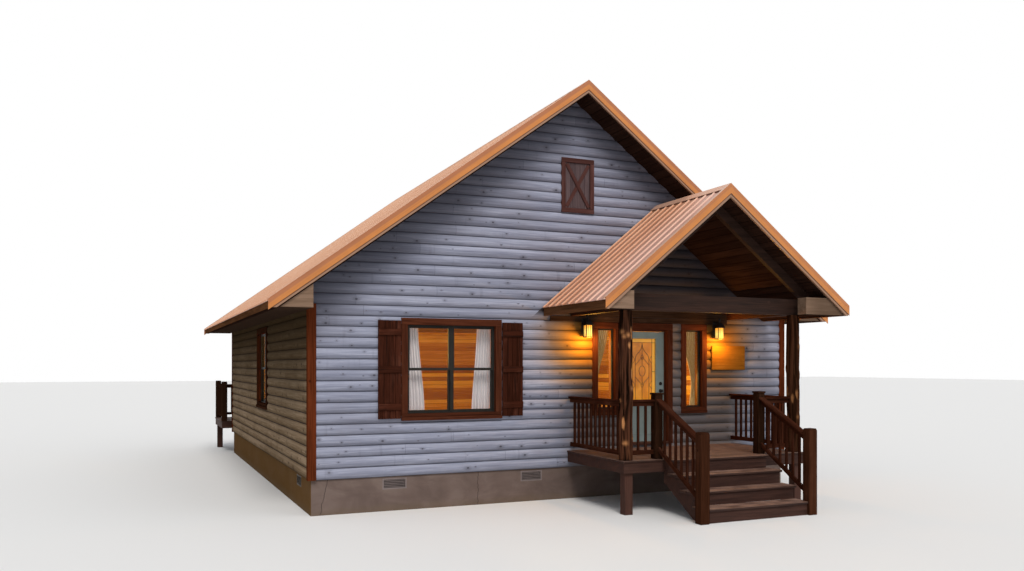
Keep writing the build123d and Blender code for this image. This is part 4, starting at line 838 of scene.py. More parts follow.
paint(siding_front, "front_wall_left", "front_wall_right", "front_wall_over_door", "front_wall_under_door",
      "front_gable", "back_wall", "back_gable")
paint(siding_left, "left_wall")
paint(siding_right, "right_wall")
paint(rendered_foundation(), "foundation_ends", "foundation_sides")
paint(smooth_paint("vent_paint", (0.20, 0.16, 0.15), 0.6), "foundation_vents")
paint(sawn_frame("corner_stain", Z, (0.050, 0.012, 0.004), (0.135, 0.030, 0.010), sheen=0.0), "corner_boards")
paint(ribbed_metal("copper_roof", (0.60, 0.275, 0.145), (0.46, 0.185, 0.092), (0.90, 0.62, 0.42)),
      "roof_metal_left", "roof_metal_right")
paint(folded_metal("copper_ridge", (0.62, 0.33, 0.21), (0.42, 0.19, 0.11)), "ridge_caps")
paint(rake_metal("copper_trim", (0.42, 0.150, 0.058), (0.60, 0.215, 0.045)), "rake_trims", "bargeboards_left",
      "bargeboards_right")
paint(sawn_frame("fascia_stain", Y, (0.060, 0.026, 0.012), (0.150, 0.064, 0.028), sheen=0.0), "fascias")
soffit_boards = sawn_frame("soffit_boards", Y, (0.016, 0.008, 0.006), (0.040, 0.020, 0.014),
                           boards=0.14, stack=X, sheen=0.0)
paint(soffit_boards, "roof_left", "roof_right", "porch_roof_left", "porch_roof_right")
paint(sawn_frame("box_boards", X, (0.155, 0.096, 0.062), (0.28, 0.182, 0.125), underside_shade=0.92, sheen=0.0),
      "eave_boxes")
paint(sawn_frame("beam_stain", X, (0.012, 0.005, 0.003), (0.040, 0.019, 0.013), hewn=1.4), "porch_front_beam",
      "porch_truss")
paint(sawn_frame("side_beam_stain", Y, (0.020, 0.006, 0.003), (0.060, 0.018, 0.007)), "porch_side_beams")
paint(sawn_frame("frame_stain", X, (0.026, 0.011, 0.008), (0.068, 0.031, 0.022)),
      "deck_frames", "stair_carriage")
paint(sawn_frame("post_stain", Z, (0.034, 0.014, 0.010), (0.085, 0.038, 0.027)), "deck_posts")
paint(bronze_sash(), "window_sashes")
paint(clear_pane(), "window_glass")
paint(smooth_paint("door_paint", (0.27, 0.34, 0.33), 0.42, 0.25), "door", "rear_door")
black_iron = smooth_paint("black_iron", (0.012, 0.010, 0.010), 0.5, 0.2)
paint(black_iron, "door_hardware", "jamb_hinges", "curtain_rods")
paint(amber_pane(), "door_glass")
paint(lamp_pane(), "lantern_glass")
paint(sawn_frame("jamb_stain", Z, (0.035, 0.011, 0.007), (0.090, 0.026, 0.014)),
      "door_frame", "rear_door_frame")
paint(sawn_frame("sill_stain", X, (0.035, 0.015, 0.011), (0.085, 0.038, 0.026)), "threshold")

pine_floor = Finish("pine_floor")
floor_x, floor_y, _ = pine_floor.split(pine_floor.place())
floor_colour, floor_height = knotty_pine(pine_floor, floor_y, floor_x, 0.12)
floor_colour = pine_floor.mix(0.62, floor_colour, (0.11, 0.045, 0.012))
pine_floor.surface(Base_Color=floor_colour, Roughness=0.4, Normal=pine_floor.bump(floor_height, 0.4, 0.003))
paint(pine_floor.material, "floor", "attic_floor")


# Boards on the walls

def wall_board(timber, wall, across, up, depth, upright, ease=0.003):
    """A board on a wall, its grain upright or along the wall."""
    if wall == "front":
        x, y = across, (FRONT - depth[0], FRONT - depth[1])
    elif wall == "back":
        x, y = (-across[0], -across[1]), (BACK + depth[0], BACK + depth[1])
    elif wall == "left":
        x, y = (LEFT - depth[0], LEFT - depth[1]), across
    else:
        x, y = (RIGHT + depth[0], RIGHT + depth[1]), across
    along = X if wall in ("front", "back") else Y
    timber.board((min(x), min(y), min(up)), (max(x), max(y), max(up)), Z if upright else along, ease)


# Widths and depths of the casings
CASING = 0.110
PROUD = 0.042
SILL_PROUD = 0.060
WALL_SKIN = 0.050
JOINT = 0.0012


def case_window(timber, wall, centre, width):
    """Flat trim round one window: two legs, a head board, and a sill on an apron."""
    half = width / 2
    outer = half + CASING
    for side in (-1, 1):
        across = sorted((centre + side * (half + JOINT), centre + side * outer))
        wall_board(timber, wall, across, (SILL + JOINT, HEAD - JOINT), (-WALL_SKIN, PROUD), True)
    span = (centre - outer, centre + outer)
    for up, proud in (((HEAD, HEAD + CASING), PROUD), ((SILL - CASING / 2 + JOINT, SILL), PROUD),
                      ((SILL - CASING, SILL - CASING / 2), SILL_PROUD)):
        wall_board(timber, wall, span, up, (-WALL_SKIN, proud), False, 0.004)


casings = Timber(11)
case_window(casings, "front", WIDE_X, WIDE)
case_window(casings, "front", RIGHT_X, NARROW)
case_window(casings, "left", SIDE_Y, SIDE)
case_window(casings, "right", SIDE_Y, SIDE)
case_window(casings, "back", REAR_WINDOW_X, SIDE)
casings.piece("casing_boards", trim_stain, "trim_wood", "window_casings")

surround = Timber(12)
case_window(surround, "front", SIDELIGHT_X, NARROW)
door_inner, door_outer = 0.473, 0.583
door_head = HEAD - 0.008
for side in (-1, 1):
    across = sorted((DOOR_X + side * door_inner, DOOR_X + side * door_outer))
    wall_board(surround, "front", across, (0.890, door_head - JOINT), (-WALL_SKIN, PROUD), True)
wall_board(surround, "front", (DOOR_X - door_outer, DOOR_X + door_outer), (door_head, HEAD + CASING),
           (-WALL_SKIN, PROUD), False, 0.004)
surround.piece("door_casing_boards", trim_stain, "trim_wood", "door_casing")

# Shutters of four upright boards on three battens
SHUTTER_FOOT = 1.469
SHUTTER = 1.568
shutters = Timber(13)
for side in (-1, 1):
    near = WIDE_X + side * (WIDE / 2 + CASING + 0.006)
    width, boards = 0.378, 4
    low_x = min(near, near + side * width)
    for n in range(boards):
        across = (low_x + n * width / boards + 0.002, low_x + (n + 1) * width / boards - 0.002)
        up = (SHUTTER_FOOT, SHUTTER_FOOT + SHUTTER)
        wall_board(shutters, "front", across, up, (BULGE, 0.052), True, 0.004)
    for share in (0.12, 0.5, 0.88):
        across = (low_x + 0.002, low_x + width - 0.002)
        middle = SHUTTER_FOOT + SHUTTER * share
        up = (middle - 0.0525, middle + 0.0525)
        wall_board(shutters, "front", across, up, (0.050, 0.072), False, 0.005)
shutters.piece("board_shutters", shutter_stain, "trim_wood", "shutters")

# Gable hatch: upright boards, a frame round them, and a crossed brace
HATCH_X, HATCH_Z, HATCH_W, HATCH_H, HATCH_FRAME = 0.040, 4.984, 0.640, 0.948, 0.078
PANEL = 0.016
hatch_left, hatch_right = HATCH_X - HATCH_W / 2, HATCH_X + HATCH_W / 2
hatch_top = HATCH_Z + HATCH_H
hatch = Timber(14)
for n in range(5):
    width = (HATCH_W - 2 * HATCH_FRAME) / 5
    low_x = hatch_left + HATCH_FRAME + n * width
    up = (HATCH_Z + HATCH_FRAME, hatch_top - HATCH_FRAME)
    wall_board(hatch, "front", (low_x + 0.001, low_x + width - 0.001), up, (-WALL_SKIN, PANEL), True, 0.004)
hatch.piece("hatch_boards", hatch_stain, "trim_wood")

hatch_frame = Timber(15)
inner_left, inner_right = hatch_left + HATCH_FRAME, hatch_right - HATCH_FRAME
inner_low, inner_high = HATCH_Z + HATCH_FRAME, hatch_top - HATCH_FRAME
for across in ((hatch_left, inner_left - JOINT), (inner_right + JOINT, hatch_right)):
    wall_board(hatch_frame, "front", across, (inner_low + JOINT, inner_high - JOINT), (-WALL_SKIN, PROUD),
               True)
for up in ((HATCH_Z, inner_low), (inner_high, hatch_top)):
    wall_board(hatch_frame, "front", (hatch_left, hatch_right), up, (-WALL_SKIN, PROUD), False, 0.004)
brace = 0.062
for start_x, end_x, depth in ((inner_left, inner_right, 0.021), (inner_right, inner_left, 0.012)):
    inset = brace * 0.42
    direction = 1 if end_x > start_x else -1
    middle_y = FRONT - PANEL - depth / 2 + 0.001
    hatch_frame.batten((start_x + direction * inset, middle_y, inner_high - inset),
                       (end_x - direction * inset, middle_y, inner_low + inset), brace, depth, (0, -1, 0))
hatch_frame.piece("hatch_frame", hatch_trim, "trim_wood", "gable_hatch")

# Two flat boards over the door, under the porch roof
frieze = Timber(16)
frieze.board((-0.500, LOG_FACE - 0.010, 3.088), (3.240, LOG_FACE + 0.046, 3.178), X, 0.004)
frieze.board((0.016, LOG_FACE - 0.010, 3.182), (3.237, LOG_FACE + 0.046, 3.420), X, 0.004)
frieze.piece("frieze_boards", frieze_stain, "trim_wood")


# Decks, stair and railings

DECK_BOARD = 0.028
DECK_LEFT, DECK_RIGHT = -0.177, 3.430
DECK_FRONT = LOG_FACE - 1.892
REAR_LEFT, REAR_RIGHT = -4.900, -1.000
REAR_WALL = BACK + CORNER_PROUD
REAR_EDGE = REAR_WALL + 1.830


def lay_deck(timber, left, right, wall, edge):
    """Deck boards laid along the wall, the first at the outer edge."""
    count = round(abs(edge - wall) / 0.146)
    pitch = abs(edge - wall) / count
    outward = 1 if edge > wall else -1
    for n in range(count):
        start = wall + outward * (n * pitch + 0.004)
        stop = wall + outward * (n + 1) * pitch
        low, high = min(start, stop), max(start, stop)
        slip = timber.random.uniform(0, 0.003)
        timber.board((left + slip, low, DECK_TOP - DECK_BOARD), (right - slip, high, DECK_TOP), X, 0.004)


decking = Timber(21)
lay_deck(decking, DECK_LEFT, DECK_RIGHT, LOG_FACE, DECK_FRONT)
lay_deck(decking, REAR_LEFT, REAR_RIGHT, REAR_WALL, REAR_EDGE)
decking.piece("deck_planks", porch_shaded_deck, "deck_wood", "deck_boards")

NEWEL = 0.140
LOWER_NEWEL = 0.157
NEWEL_X = (0.535, 2.565)
LOWER_NEWEL_Y = -3.065
NEWEL_TOP = DECK_TOP + 1.045
POST_X = (-0.043, 3.296)
POST_Y = -1.870
RISE = DECK_TOP / 4
RUN = 0.323
NOSE = 0.030
TREAD = 0.038
TOP_RISER = -2.121
RISERS = [TOP_RISER - (3 - n) * RUN for n in range(4)]
tread_left, tread_right = NEWEL_X[0] + 0.024, NEWEL_X[1] - 0.024
between_left, between_right = NEWEL_X[0] + LOWER_NEWEL / 2 + 0.001, NEWEL_X[1] - LOWER_NEWEL / 2 - 0.001
treads = Timber(22)
for n in range(3):
    top = RISE * (n + 1)
    front = RISERS[n] - NOSE
    back = RISERS[n + 1]
    middle = (front + back) / 2
    left, right = (between_left, between_right) if n == 0 else (tread_left, tread_right)
    treads.board((left, front, top - TREAD), (right, middle - 0.003, top), X, 0.007)
    treads.board((tread_left, middle + 0.003, top - TREAD), (tread_right, back - 0.001, top), X, 0.007)
treads.board((tread_left, TOP_RISER - NOSE, DECK_TOP - TREAD), (tread_right, DECK_FRONT - 0.001, DECK_TOP),
             X, 0.007)
treads.piece("tread_planks", tread_stain, "deck_wood", "stair_treads")

# Railings: flat caps, two rails and square balusters
RAIL = 0.940
CAP_WIDTH, CAP = 0.110, 0.032
RAIL_WIDTH, RAIL_DEPTH = 0.038, 0.070
BALUSTER = 0.036
BALUSTER_PITCH = 0.142


def level_rail(timber, axis, line, start, stop):
    """A level panel between two ends along one axis, with line its place on the other."""
    low, high = DECK_TOP + 0.075, DECK_TOP + RAIL

    def rail(width, up, grain=axis, span=(start, stop), ease=0.005):
        across = (line - width / 2, line + width / 2)
        x, y = (span, across) if axis == X else (across, span)
        timber.board((x[0], y[0], up[0]), (x[1], y[1], up[1]), grain, ease)

    rail(CAP_WIDTH, (high - CAP, high))
    rail(RAIL_WIDTH, (high - CAP - RAIL_DEPTH, high - CAP - 0.0005))
    rail(RAIL_WIDTH, (low, low + RAIL_DEPTH))
    count = max(1, round((stop - start) / BALUSTER_PITCH) - 1)
    for n in range(count):
        middle = start + (stop - start) * (n + 1) / (count + 1)
        up = (low + RAIL_DEPTH, high - CAP - RAIL_DEPTH)
        rail(BALUSTER, up, Z, (middle - BALUSTER / 2, middle + BALUSTER / 2), 0.003)


rails = Timber(23)
level_rail(rails, Y, DECK_LEFT + 0.082, POST_Y, LOG_FACE)
level_rail(rails, Y, DECK_RIGHT - 0.082, POST_Y, LOG_FACE)
level_rail(rails, X, POST_Y, POST_X[0] + 0.09, NEWEL_X[0] - NEWEL / 2)
level_rail(rails, X, POST_Y, NEWEL_X[1] + NEWEL / 2, POST_X[1] - 0.09)
rear_line = REAR_EDGE - 0.018 - NEWEL / 2
rear_left_line = REAR_LEFT + 0.018 + NEWEL / 2
rear_right_line = REAR_RIGHT - 0.018 - NEWEL / 2
rear_wall_line = REAR_WALL + NEWEL / 2
level_rail(rails, X, rear_line, rear_left_line + NEWEL / 2, rear_right_line - NEWEL / 2)
level_rail(rails, Y, rear_left_line, REAR_WALL + NEWEL, rear_line - NEWEL / 2)
level_rail(rails, Y, rear_right_line, BACK + BULGE, rear_line - NEWEL / 2)
rails.piece("rail_timbers", rail_stain, "rail_wood", "railings")


def square(timber, x, y, half, low, high, grain=Z, ease=0.003):
    """A square block round an upright axis."""
    timber.board((x - half, y - half, low), (x + half, y + half, high), grain, ease)


def newel(timber, x, y, width, low, high, cap):
    """A square post with eased corners, under a wider cap or with a rounded head."""
    half = width / 2
    if cap:
        square(timber, x, y, half, low, high - 0.030, Z, 0.007)
        square(timber, x, y, half + 0.013, high - 0.030, high, X, 0.009)
    else:
        square(timber, x, y, half, low, high - 0.022, Z, 0.009)
        square(timber, x, y, half - 0.004, high - 0.040, high, Z, 0.017)


newels = Timber(24)
upper_newels = Timber(26)
for x in NEWEL_X:
    newel(upper_newels, x, POST_Y, NEWEL, DECK_TOP, NEWEL_TOP, True)
    newel(newels, x, LOWER_NEWEL_Y, LOWER_NEWEL, 0.0, 1.340, False)
upper_newels.piece("upper_newel_timbers", shaded_newel, "rail_wood")
rear_newels = ((rear_left_line, rear_line), (rear_right_line, rear_line), (rear_left_line, rear_wall_line))
for x, y in rear_newels:
    newel(newels, x, y, NEWEL, DECK_TOP, NEWEL_TOP, False)
newels.piece("newel_timbers", newel_stain, "rail_wood", "newel_posts")

# Sloping stair rails, let a little way into the newels, the lower rail on a flatter slope than the cap
low_y, high_y = LOWER_NEWEL_Y + LOWER_NEWEL / 2, POST_Y - NEWEL / 2
CAP_LINE = (1.247, 1.787)
FOOT_LINE = (0.390, 1.030)
stair_rails = Timber(25)


def line_height(line, y, under):
    """The height at y of a line that lies some way under a sloping top, measured square to it."""
    slope = (line[1] - line[0]) / (high_y - low_y)
    return line[0] + slope * (y - low_y) - under * math.hypot(1, slope)


def sloping_rail(timber, x, width, line, under, depth):
    """A rail that falls with the stair, its top some way under a sloping line."""
    reach = 0.018
    start, end = low_y - reach, high_y + reach
    timber.batten((x, start, line_height(line, start, under + depth / 2)),
                  (x, end, line_height(line, end, under + depth / 2)), width, depth, (0, 0, 1), 0.005)


for x in NEWEL_X:
    sloping_rail(stair_rails, x, CAP_WIDTH, CAP_LINE, 0.0, CAP)
    sloping_rail(stair_rails, x, RAIL_WIDTH, CAP_LINE, CAP, RAIL_DEPTH)
    sloping_rail(stair_rails, x, RAIL_WIDTH, FOOT_LINE, 0.0, RAIL_DEPTH)
    count = round((high_y - low_y) / BALUSTER_PITCH) - 1
    for n in range(count):
        y = low_y + (high_y - low_y) * (n + 1) / (count + 1)
        foot = line_height(FOOT_LINE, y, RAIL_DEPTH / 2)
        head = line_height(CAP_LINE, y, CAP + RAIL_DEPTH / 2)
        square(stair_rails, x, y, BALUSTER / 2, foot, head)
stair_rails.piece("stair_rail_timbers", rail_stain, "rail_wood", "stair_rails")


# Log posts

def gnarled_log(x, y, low, high, foot, head, seed):
    """A peeled cedar log: rings up its length, pushed in and out into flutes, ridges and broken knots."""
    chance = random.Random(seed)
    mesh = bmesh.new()
    ridge = mesh.verts.layers.float.new("ridge")
    bare = mesh.verts.layers.float.new("bare")
    around, levels = 72, 96
    bmesh.ops.create_circle(mesh, cap_ends=True, radius=1.0, segments=around)
    edges = list(mesh.edges)
    for _ in range(levels):
        grown = bmesh.ops.extrude_edge_only(mesh, edges=edges)["geom"]
        edges = [item for item in grown if isinstance(item, bmesh.types.BMEdge)]
        fresh = [item for item in grown if isinstance(item, bmesh.types.BMVert)]
        bmesh.ops.translate(mesh, vec=(0, 0, 1 / levels), verts=fresh)
    bmesh.ops.contextual_create(mesh, geom=edges)
    knots = [(chance.uniform(0, 2 * math.pi), chance.uniform(0.06, 0.94), chance.uniform(0.05, 0.11),
              chance.uniform(0.006, 0.020)) for _ in range(13)]
    patches = [(chance.uniform(0, 2 * math.pi), chance.uniform(0.22, 0.85), chance.uniform(0.4, 1.0))
               for _ in range(10)]
    for vert in mesh.verts:
        share = vert.co.z
        angle = math.atan2(vert.co.y, vert.co.x)
        height = share * (high - low)
        step = share * 5
        index = min(int(step), 4)
        blend = step - index
        blend = blend * blend * (3 - 2 * blend)
        sways = [0.014 * math.sin(3.1 * k + x * 1000) * (1 - k / 5) if k else 0.0 for k in range(6)]
        sway = sways[index] * (1 - blend) + sways[index + 1] * blend
        radius = foot + (head - foot) * share
        spot = Vector((math.cos(angle) * 2.0, math.sin(angle) * 2.0, height * 1.1 + seed * 7))
        flute = noise.noise(spot)
        lumps = noise.noise(Vector((math.cos(angle) * 1.1, math.sin(angle) * 1.1, height * 2.6 + seed * 3)))
        strands = noise.noise(Vector((math.cos(angle) * 6.5, math.sin(angle) * 6.5, height * 2.2 + seed)))
        push = 0.017 * flute + 0.010 * lumps + 0.009 * strands
        pale = 0.0
        for turn, place, size, rise in knots:
            gap = math.atan2(math.sin(angle - turn), math.cos(angle - turn)) * radius
            away = math.hypot(gap, height - place * (high - low)) / size
            if away < 2:
                push += rise * math.exp(-2.2 * away * away) - rise * 0.55 * math.exp(-18 * away * away)
                pale = max(pale, 0.9 * math.exp(-9 * away * away))
        for turn, place, size in patches:
            gap = math.atan2(math.sin(angle - turn), math.cos(angle - turn)) * radius / 0.035
            away = math.hypot(gap, (height - place * (high - low)) / (0.13 * size))
            ragged = 0.5 * noise.noise(Vector((angle * 5, height * 9, seed)))
            if away + ragged < 1:
                pale = max(pale, min(1.0, 2.5 * (1 - away - ragged)))
                push -= 0.004
        ends = min(1.0, share * 14, (1 - share) * 14)
        vert[ridge] = 0.5 + 0.9 * flute + 0.7 * strands
        vert[bare] = pale
        reach = radius * 0.965 + push * ends
        vert.co = Vector((
            x + sway + reach * math.cos(angle),
            y + 0.6 * sway + reach * math.sin(angle),
            low + height,
        ))
    bmesh.ops.recalc_face_normals(mesh, faces=mesh.faces)
    return mesh


logs = bmesh.new()
for number, x in enumerate(POST_X):
    log = gnarled_log(x, POST_Y, DECK_TOP, BEAM_BOTTOM, 0.112, 0.104, 3 + number)
    spare = bpy.data.meshes.new("log")
    log.to_mesh(spare)
    log.free()
    logs.from_mesh(spare)
    bpy.data.meshes.remove(spare)
put("cedar_posts", logs, cedar_bark(), "cedar_log", "log_posts", smooth=True)


# Door mouldings and leaded glass

DOOR_FRONT = FRONT + 0.070
door_paint = nodes["door"].data.materials[0]
mouldings = Timber(31)


def moulding_frame(timber, across, up, width, face, rise, ease):
    """Four strips round an opening, proud of a face that looks to the front."""
    x0, x1 = across
    z0, z1 = up
    for low, high, grain in (((x0, z0), (x0 + width, z1), Z), ((x1 - width, z0), (x1, z1), Z),
                             ((x0 + width, z0), (x1 - width, z0 + width), X),
                             ((x0 + width, z1 - width), (x1 - width, z1), X)):
        timber.board((low[0], face - rise, low[1]), (high[0], face, high[1]), grain, ease)


moulding_frame(mouldings, (LITE[0] - 0.034, LITE[1] + 0.034), (LITE_UP[0] - 0.034, LITE_UP[1] + 0.034), 0.030,
               DOOR_FRONT - 0.008, 0.004, 0.0016)
for low_x, high_x in ((DOOR_X - 0.314, DOOR_X - 0.020), (DOOR_X + 0.020, DOOR_X + 0.314)):
    moulding_frame(mouldings, (low_x, high_x), (1.060, 1.490), 0.018, DOOR_FRONT, 0.009, 0.0035)
    mouldings.board((low_x + 0.040, DOOR_FRONT - 0.008, 1.100), (high_x - 0.040, DOOR_FRONT, 1.450),
                    Z, 0.0045)
mouldings.piece("door_mouldings", door_paint, "door_paint", body="door")

lead = bpy.data.curves.new("lead_cames", "CURVE")
lead.dimensions = "3D"
lead.bevel_depth = 0.0042
lead.bevel_resolution = 1
lead.resolution_u = 10
lead.use_fill_caps = True
CAME_Y = DOOR_FRONT + 0.0145


def came(points, closed=False, smooth=False):
    """One strip of lead, through points given as shares of the pane's width and height."""
    spline = lead.splines.new("NURBS" if smooth else "POLY")
    spline.points.add(len(points) - 1)
    for point, (across, up) in zip(spline.points, points):
        x = LITE[0] + across * (LITE[1] - LITE[0])
        z = LITE_UP[0] + up * (LITE_UP[1] - LITE_UP[0])
        point.co = (x, CAME_Y, z, 1)
    spline.use_cyclic_u = closed
    if smooth:
        spline.order_u = 4
        spline.use_endpoint_u = not closed


came([(0.012, 0.006), (0.988, 0.006), (0.988, 0.994), (0.012, 0.994)], closed=True)
came([(0.13, 0.062), (0.87, 0.062), (0.87, 0.938), (0.13, 0.938)], closed=True)
for across in (0.012, 0.988):
    inner = 0.13 if across < 0.5 else 0.87
    for up in (0.062, 0.5, 0.938):
        came([(across, up), (inner, up)])
for across in (0.13, 0.87):
    came([(across, 0.006), (across, 0.062)])
    came([(across, 0.938), (across, 0.994)])
for side in (-1, 1):
    came([(0.5 + side * 0.26, 0.062), (0.5 + side * 0.26, 0.45), (0.5 + side * 0.27, 0.66),
          (0.5 + side * 0.24, 0.76), (0.5 + side * 0.06, 0.80), (0.5, 0.90), (0.5, 0.938)], smooth=True)
    came([(0.5 + side * 0.37, 0.24), (0.5 + side * 0.26, 0.30), (0.5 + side * 0.37, 0.36)])
    came([(0.5 + side * 0.37, 0.62), (0.5 + side * 0.27, 0.68), (0.5 + side * 0.37, 0.74)])
    came([(0.5, 0.30), (0.5 + side * 0.26, 0.42)])
    came([(0.5, 0.72), (0.5 + side * 0.26, 0.60)])
came([(0.5 + 0.13 * math.cos(a), 0.51 + 0.085 * math.sin(a)) for a in (n * math.pi / 4 for n in range(8))],
     closed=True, smooth=True)
came([(0.5, 0.062), (0.5, 0.425)])
came([(0.5, 0.595), (0.5, 0.90)])
for up in (0.30, 0.72):
    came([(0.5, up - 0.045), (0.56, up), (0.5, up + 0.045), (0.44, up)], closed=True)
cames = bpy.data.objects.new("lead_cames", lead)
bpy.context.scene.collection.objects.link(cames)
lead.materials.append(black_iron)
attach(cames, "door")


# Lanterns

GLASS_LOW, GLASS_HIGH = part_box("lantern_glass")[0].z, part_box("lantern_glass")[1].z
GLASS_HALF = 0.050
LANTERN_Y = (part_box("lantern_glass")[0].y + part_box("lantern_glass")[1].y) / 2
CAGE = GLASS_HALF + 0.014
FINIAL = [(0.0005, 0.0), (0.020, 0.0), (0.020, 0.012), (0.011, 0.022), (0.009, 0.034),
          (0.017, 0.050), (0.019, 0.066), (0.011, 0.084), (0.0005, 0.092)]
cage = Timber(41)


def turned(mesh, outline, x, y):
    """A shape spun round an upright axis from a half outline of radius and height."""
    points = [mesh.verts.new((x + radius, y, height)) for radius, height in outline]
    edges = [mesh.edges.new(pair) for pair in zip(points, points[1:])]
    bmesh.ops.spin(mesh, geom=points + edges, cent=(x, y, 0), axis=(0, 0, 1), angle=2 * math.pi, steps=20,
                   use_merge=True)


for x in LANTERN_X:
    plate = LOG_FACE - 0.014
    cage.board((x - 0.062, plate, GLASS_LOW + 0.044), (x + 0.062, LOG_FACE, GLASS_LOW + 0.324), Z, 0.005)
    cage.board((x - 0.040, plate - 0.008, GLASS_LOW + 0.080), (x + 0.040, plate, GLASS_LOW + 0.290), Z, 0.003)
    square(cage, x, LANTERN_Y, CAGE, GLASS_LOW - 0.016, GLASS_LOW, X, 0.004)
    corner = CAGE - 0.007
    for side_x in (-1, 1):
        for side_y in (-1, 1):
            place_x, place_y = x + side_x * corner, LANTERN_Y + side_y * corner
            square(cage, place_x, place_y, 0.007, GLASS_LOW, GLASS_HIGH, Z, 0.002)
    bar_line = GLASS_HALF + 0.004
    for side in (-1, 1):
        for bar in (-0.020, 0.020):
            square(cage, x + bar, LANTERN_Y + side * bar_line, 0.003, GLASS_LOW, GLASS_HIGH, Z, 0.001)
            square(cage, x + side * bar_line, LANTERN_Y + bar, 0.003, GLASS_LOW, GLASS_HIGH, Z, 0.001)
    eave = CAGE + 0.013
    square(cage, x, LANTERN_Y, eave, GLASS_HIGH, GLASS_HIGH + 0.012, X)
    for base, top, low, high in ((eave * 0.97, 0.054, 0.012, 0.058), (0.054, 0.030, 0.058, 0.095)):
        cone = bmesh.ops.create_cone(cage.mesh, cap_ends=True, segments=4, radius1=base * math.sqrt(2),
                                     radius2=top * math.sqrt(2), depth=high - low)["verts"]
        bmesh.ops.rotate(cage.mesh, cent=(0, 0, 0), matrix=Matrix.Rotation(math.pi / 4, 3, "Z"), verts=cone)
        bmesh.ops.translate(cage.mesh, vec=(x, LANTERN_Y, GLASS_HIGH + (low + high) / 2), verts=cone)
    turned(cage.mesh, [(radius, GLASS_HIGH + 0.095 + rise) for radius, rise in FINIAL], x, LANTERN_Y)
    cage.board((x - 0.013, LANTERN_Y, GLASS_HIGH + 0.096), (x + 0.013, plate, GLASS_HIGH + 0.122), Y, 0.004)
bmesh.ops.recalc_face_normals(cage.mesh, faces=cage.mesh.faces)
cage.piece("lantern_cages", black_iron, "dark_metal", "lanterns")


# Plaque

plaque = Timber(42)
plaque_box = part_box("wall_plaque")
plaque.board(plaque_box[0], plaque_box[1], X, 0.007)
plaque.piece("plaque_board", plaque_pine, "plaque_wood", "wall_plaque")


# Curtains

ROD_Z = 3.060
WAIST = 1.960
FOOT = 1.502
WIDE_FLAT = (0.80, 1.56)
NARROW_FLAT = (0.52, 1.58)
CURTAIN_Y = (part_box("curtains")[0].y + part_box("curtains")[1].y) / 2


def curtain(name, finish, outline, folds, depth, flat, seed):
    """A gathered curtain: outline gives height, and the two edges there, from the rod down."""
    chance = random.Random(seed)
    mesh = bmesh.new()
    across, down = folds * 10, 46
    bmesh.ops.create_grid(mesh, x_segments=across, y_segments=down, size=0.5)
    uv = mesh.loops.layers.uv.new("grain")
    for face in mesh.faces:
        for loop in face.loops:
            loop[uv].uv = ((loop.vert.co.x + 0.5) * flat[0], (loop.vert.co.y + 0.5) * flat[1])
    lengths = [chance.uniform(0.75, 1.25) for _ in range(folds + 1)]
    top, bottom = outline[0][0], outline[-1][0]
    for vert in mesh.verts:
        u, v = vert.co.x + 0.5, 0.5 - vert.co.y
        height = top + (bottom - top) * v
        for (z0, a0, b0), (z1, a1, b1) in zip(outline, outline[1:]):
            if z1 <= height <= z0:
                share = (z0 - height) / (z0 - z1)
                share = share * share * (3 - 2 * share)
                left, right = a0 + (a1 - a0) * share, b0 + (b1 - b0) * share
        wave = u * folds * 2 * math.pi
        loose = 0.55 + 0.45 * min(1.0, v * 5)
        swing = lengths[int(min(u, 0.999) * folds)]
        offset = math.sin(wave + 0.9 * math.sin(v * 4 + seed)) * depth * loose * swing
        drift = 0.16 * math.sin(wave * 0.5 + v * 3 + seed) / folds
        place = u + drift * v * (1 - abs(2 * u - 1))
        vert.co = Vector((left + (right - left) * place, CURTAIN_Y + offset, height))
    piece = put(name, mesh, finish, "curtain_cloth", smooth=True)
    cloth = piece.modifiers.new("thickness", "SOLIDIFY")
    cloth.thickness = 0.0012
    cloth.offset = 0
    return piece


white_cotton = cotton("white_cotton", (0.88, 0.82, 0.80), (0.70, 0.65, 0.66), 0.05, 8.75)
straw_cotton = cotton("straw_cotton", (0.66, 0.49, 0.22), (0.26, 0.16, 0.050), 0.45, 15.4)
wide_left, wide_right = WIDE_X - WIDE / 2 - 0.040, WIDE_X + WIDE / 2 + 0.040
side_left = SIDELIGHT_X - NARROW / 2
right_side = RIGHT_X + NARROW / 2 + 0.022
rod_top = ROD_Z - 0.009
panels = [
    curtain("curtain_wide_left", white_cotton,
            [(rod_top, wide_left, wide_left + 0.283), (FOOT, wide_left, wide_left + 0.388)],
            7, 0.017, WIDE_FLAT, 1),
    curtain("curtain_wide_right", white_cotton,
            [(rod_top, wide_right - 0.283, wide_right), (FOOT, wide_right - 0.388, wide_right)],
            7, 0.017, WIDE_FLAT, 2),
    curtain("curtain_sidelight", straw_cotton,
            [(rod_top, side_left, side_left + 0.343), (WAIST, side_left, side_left + 0.110),
             (FOOT, side_left, side_left + 0.150)], 8, 0.017, NARROW_FLAT, 3),
    curtain("curtain_right", straw_cotton,
            [(rod_top, right_side - 0.342, right_side), (WAIST, right_side - 0.097, right_side),
             (FOOT, right_side - 0.137, right_side)], 8, 0.017, NARROW_FLAT, 4),
]
for piece, flat in zip(panels, (WIDE_FLAT, WIDE_FLAT, NARROW_FLAT, NARROW_FLAT)):
    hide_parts("curtains")


# Roof screws

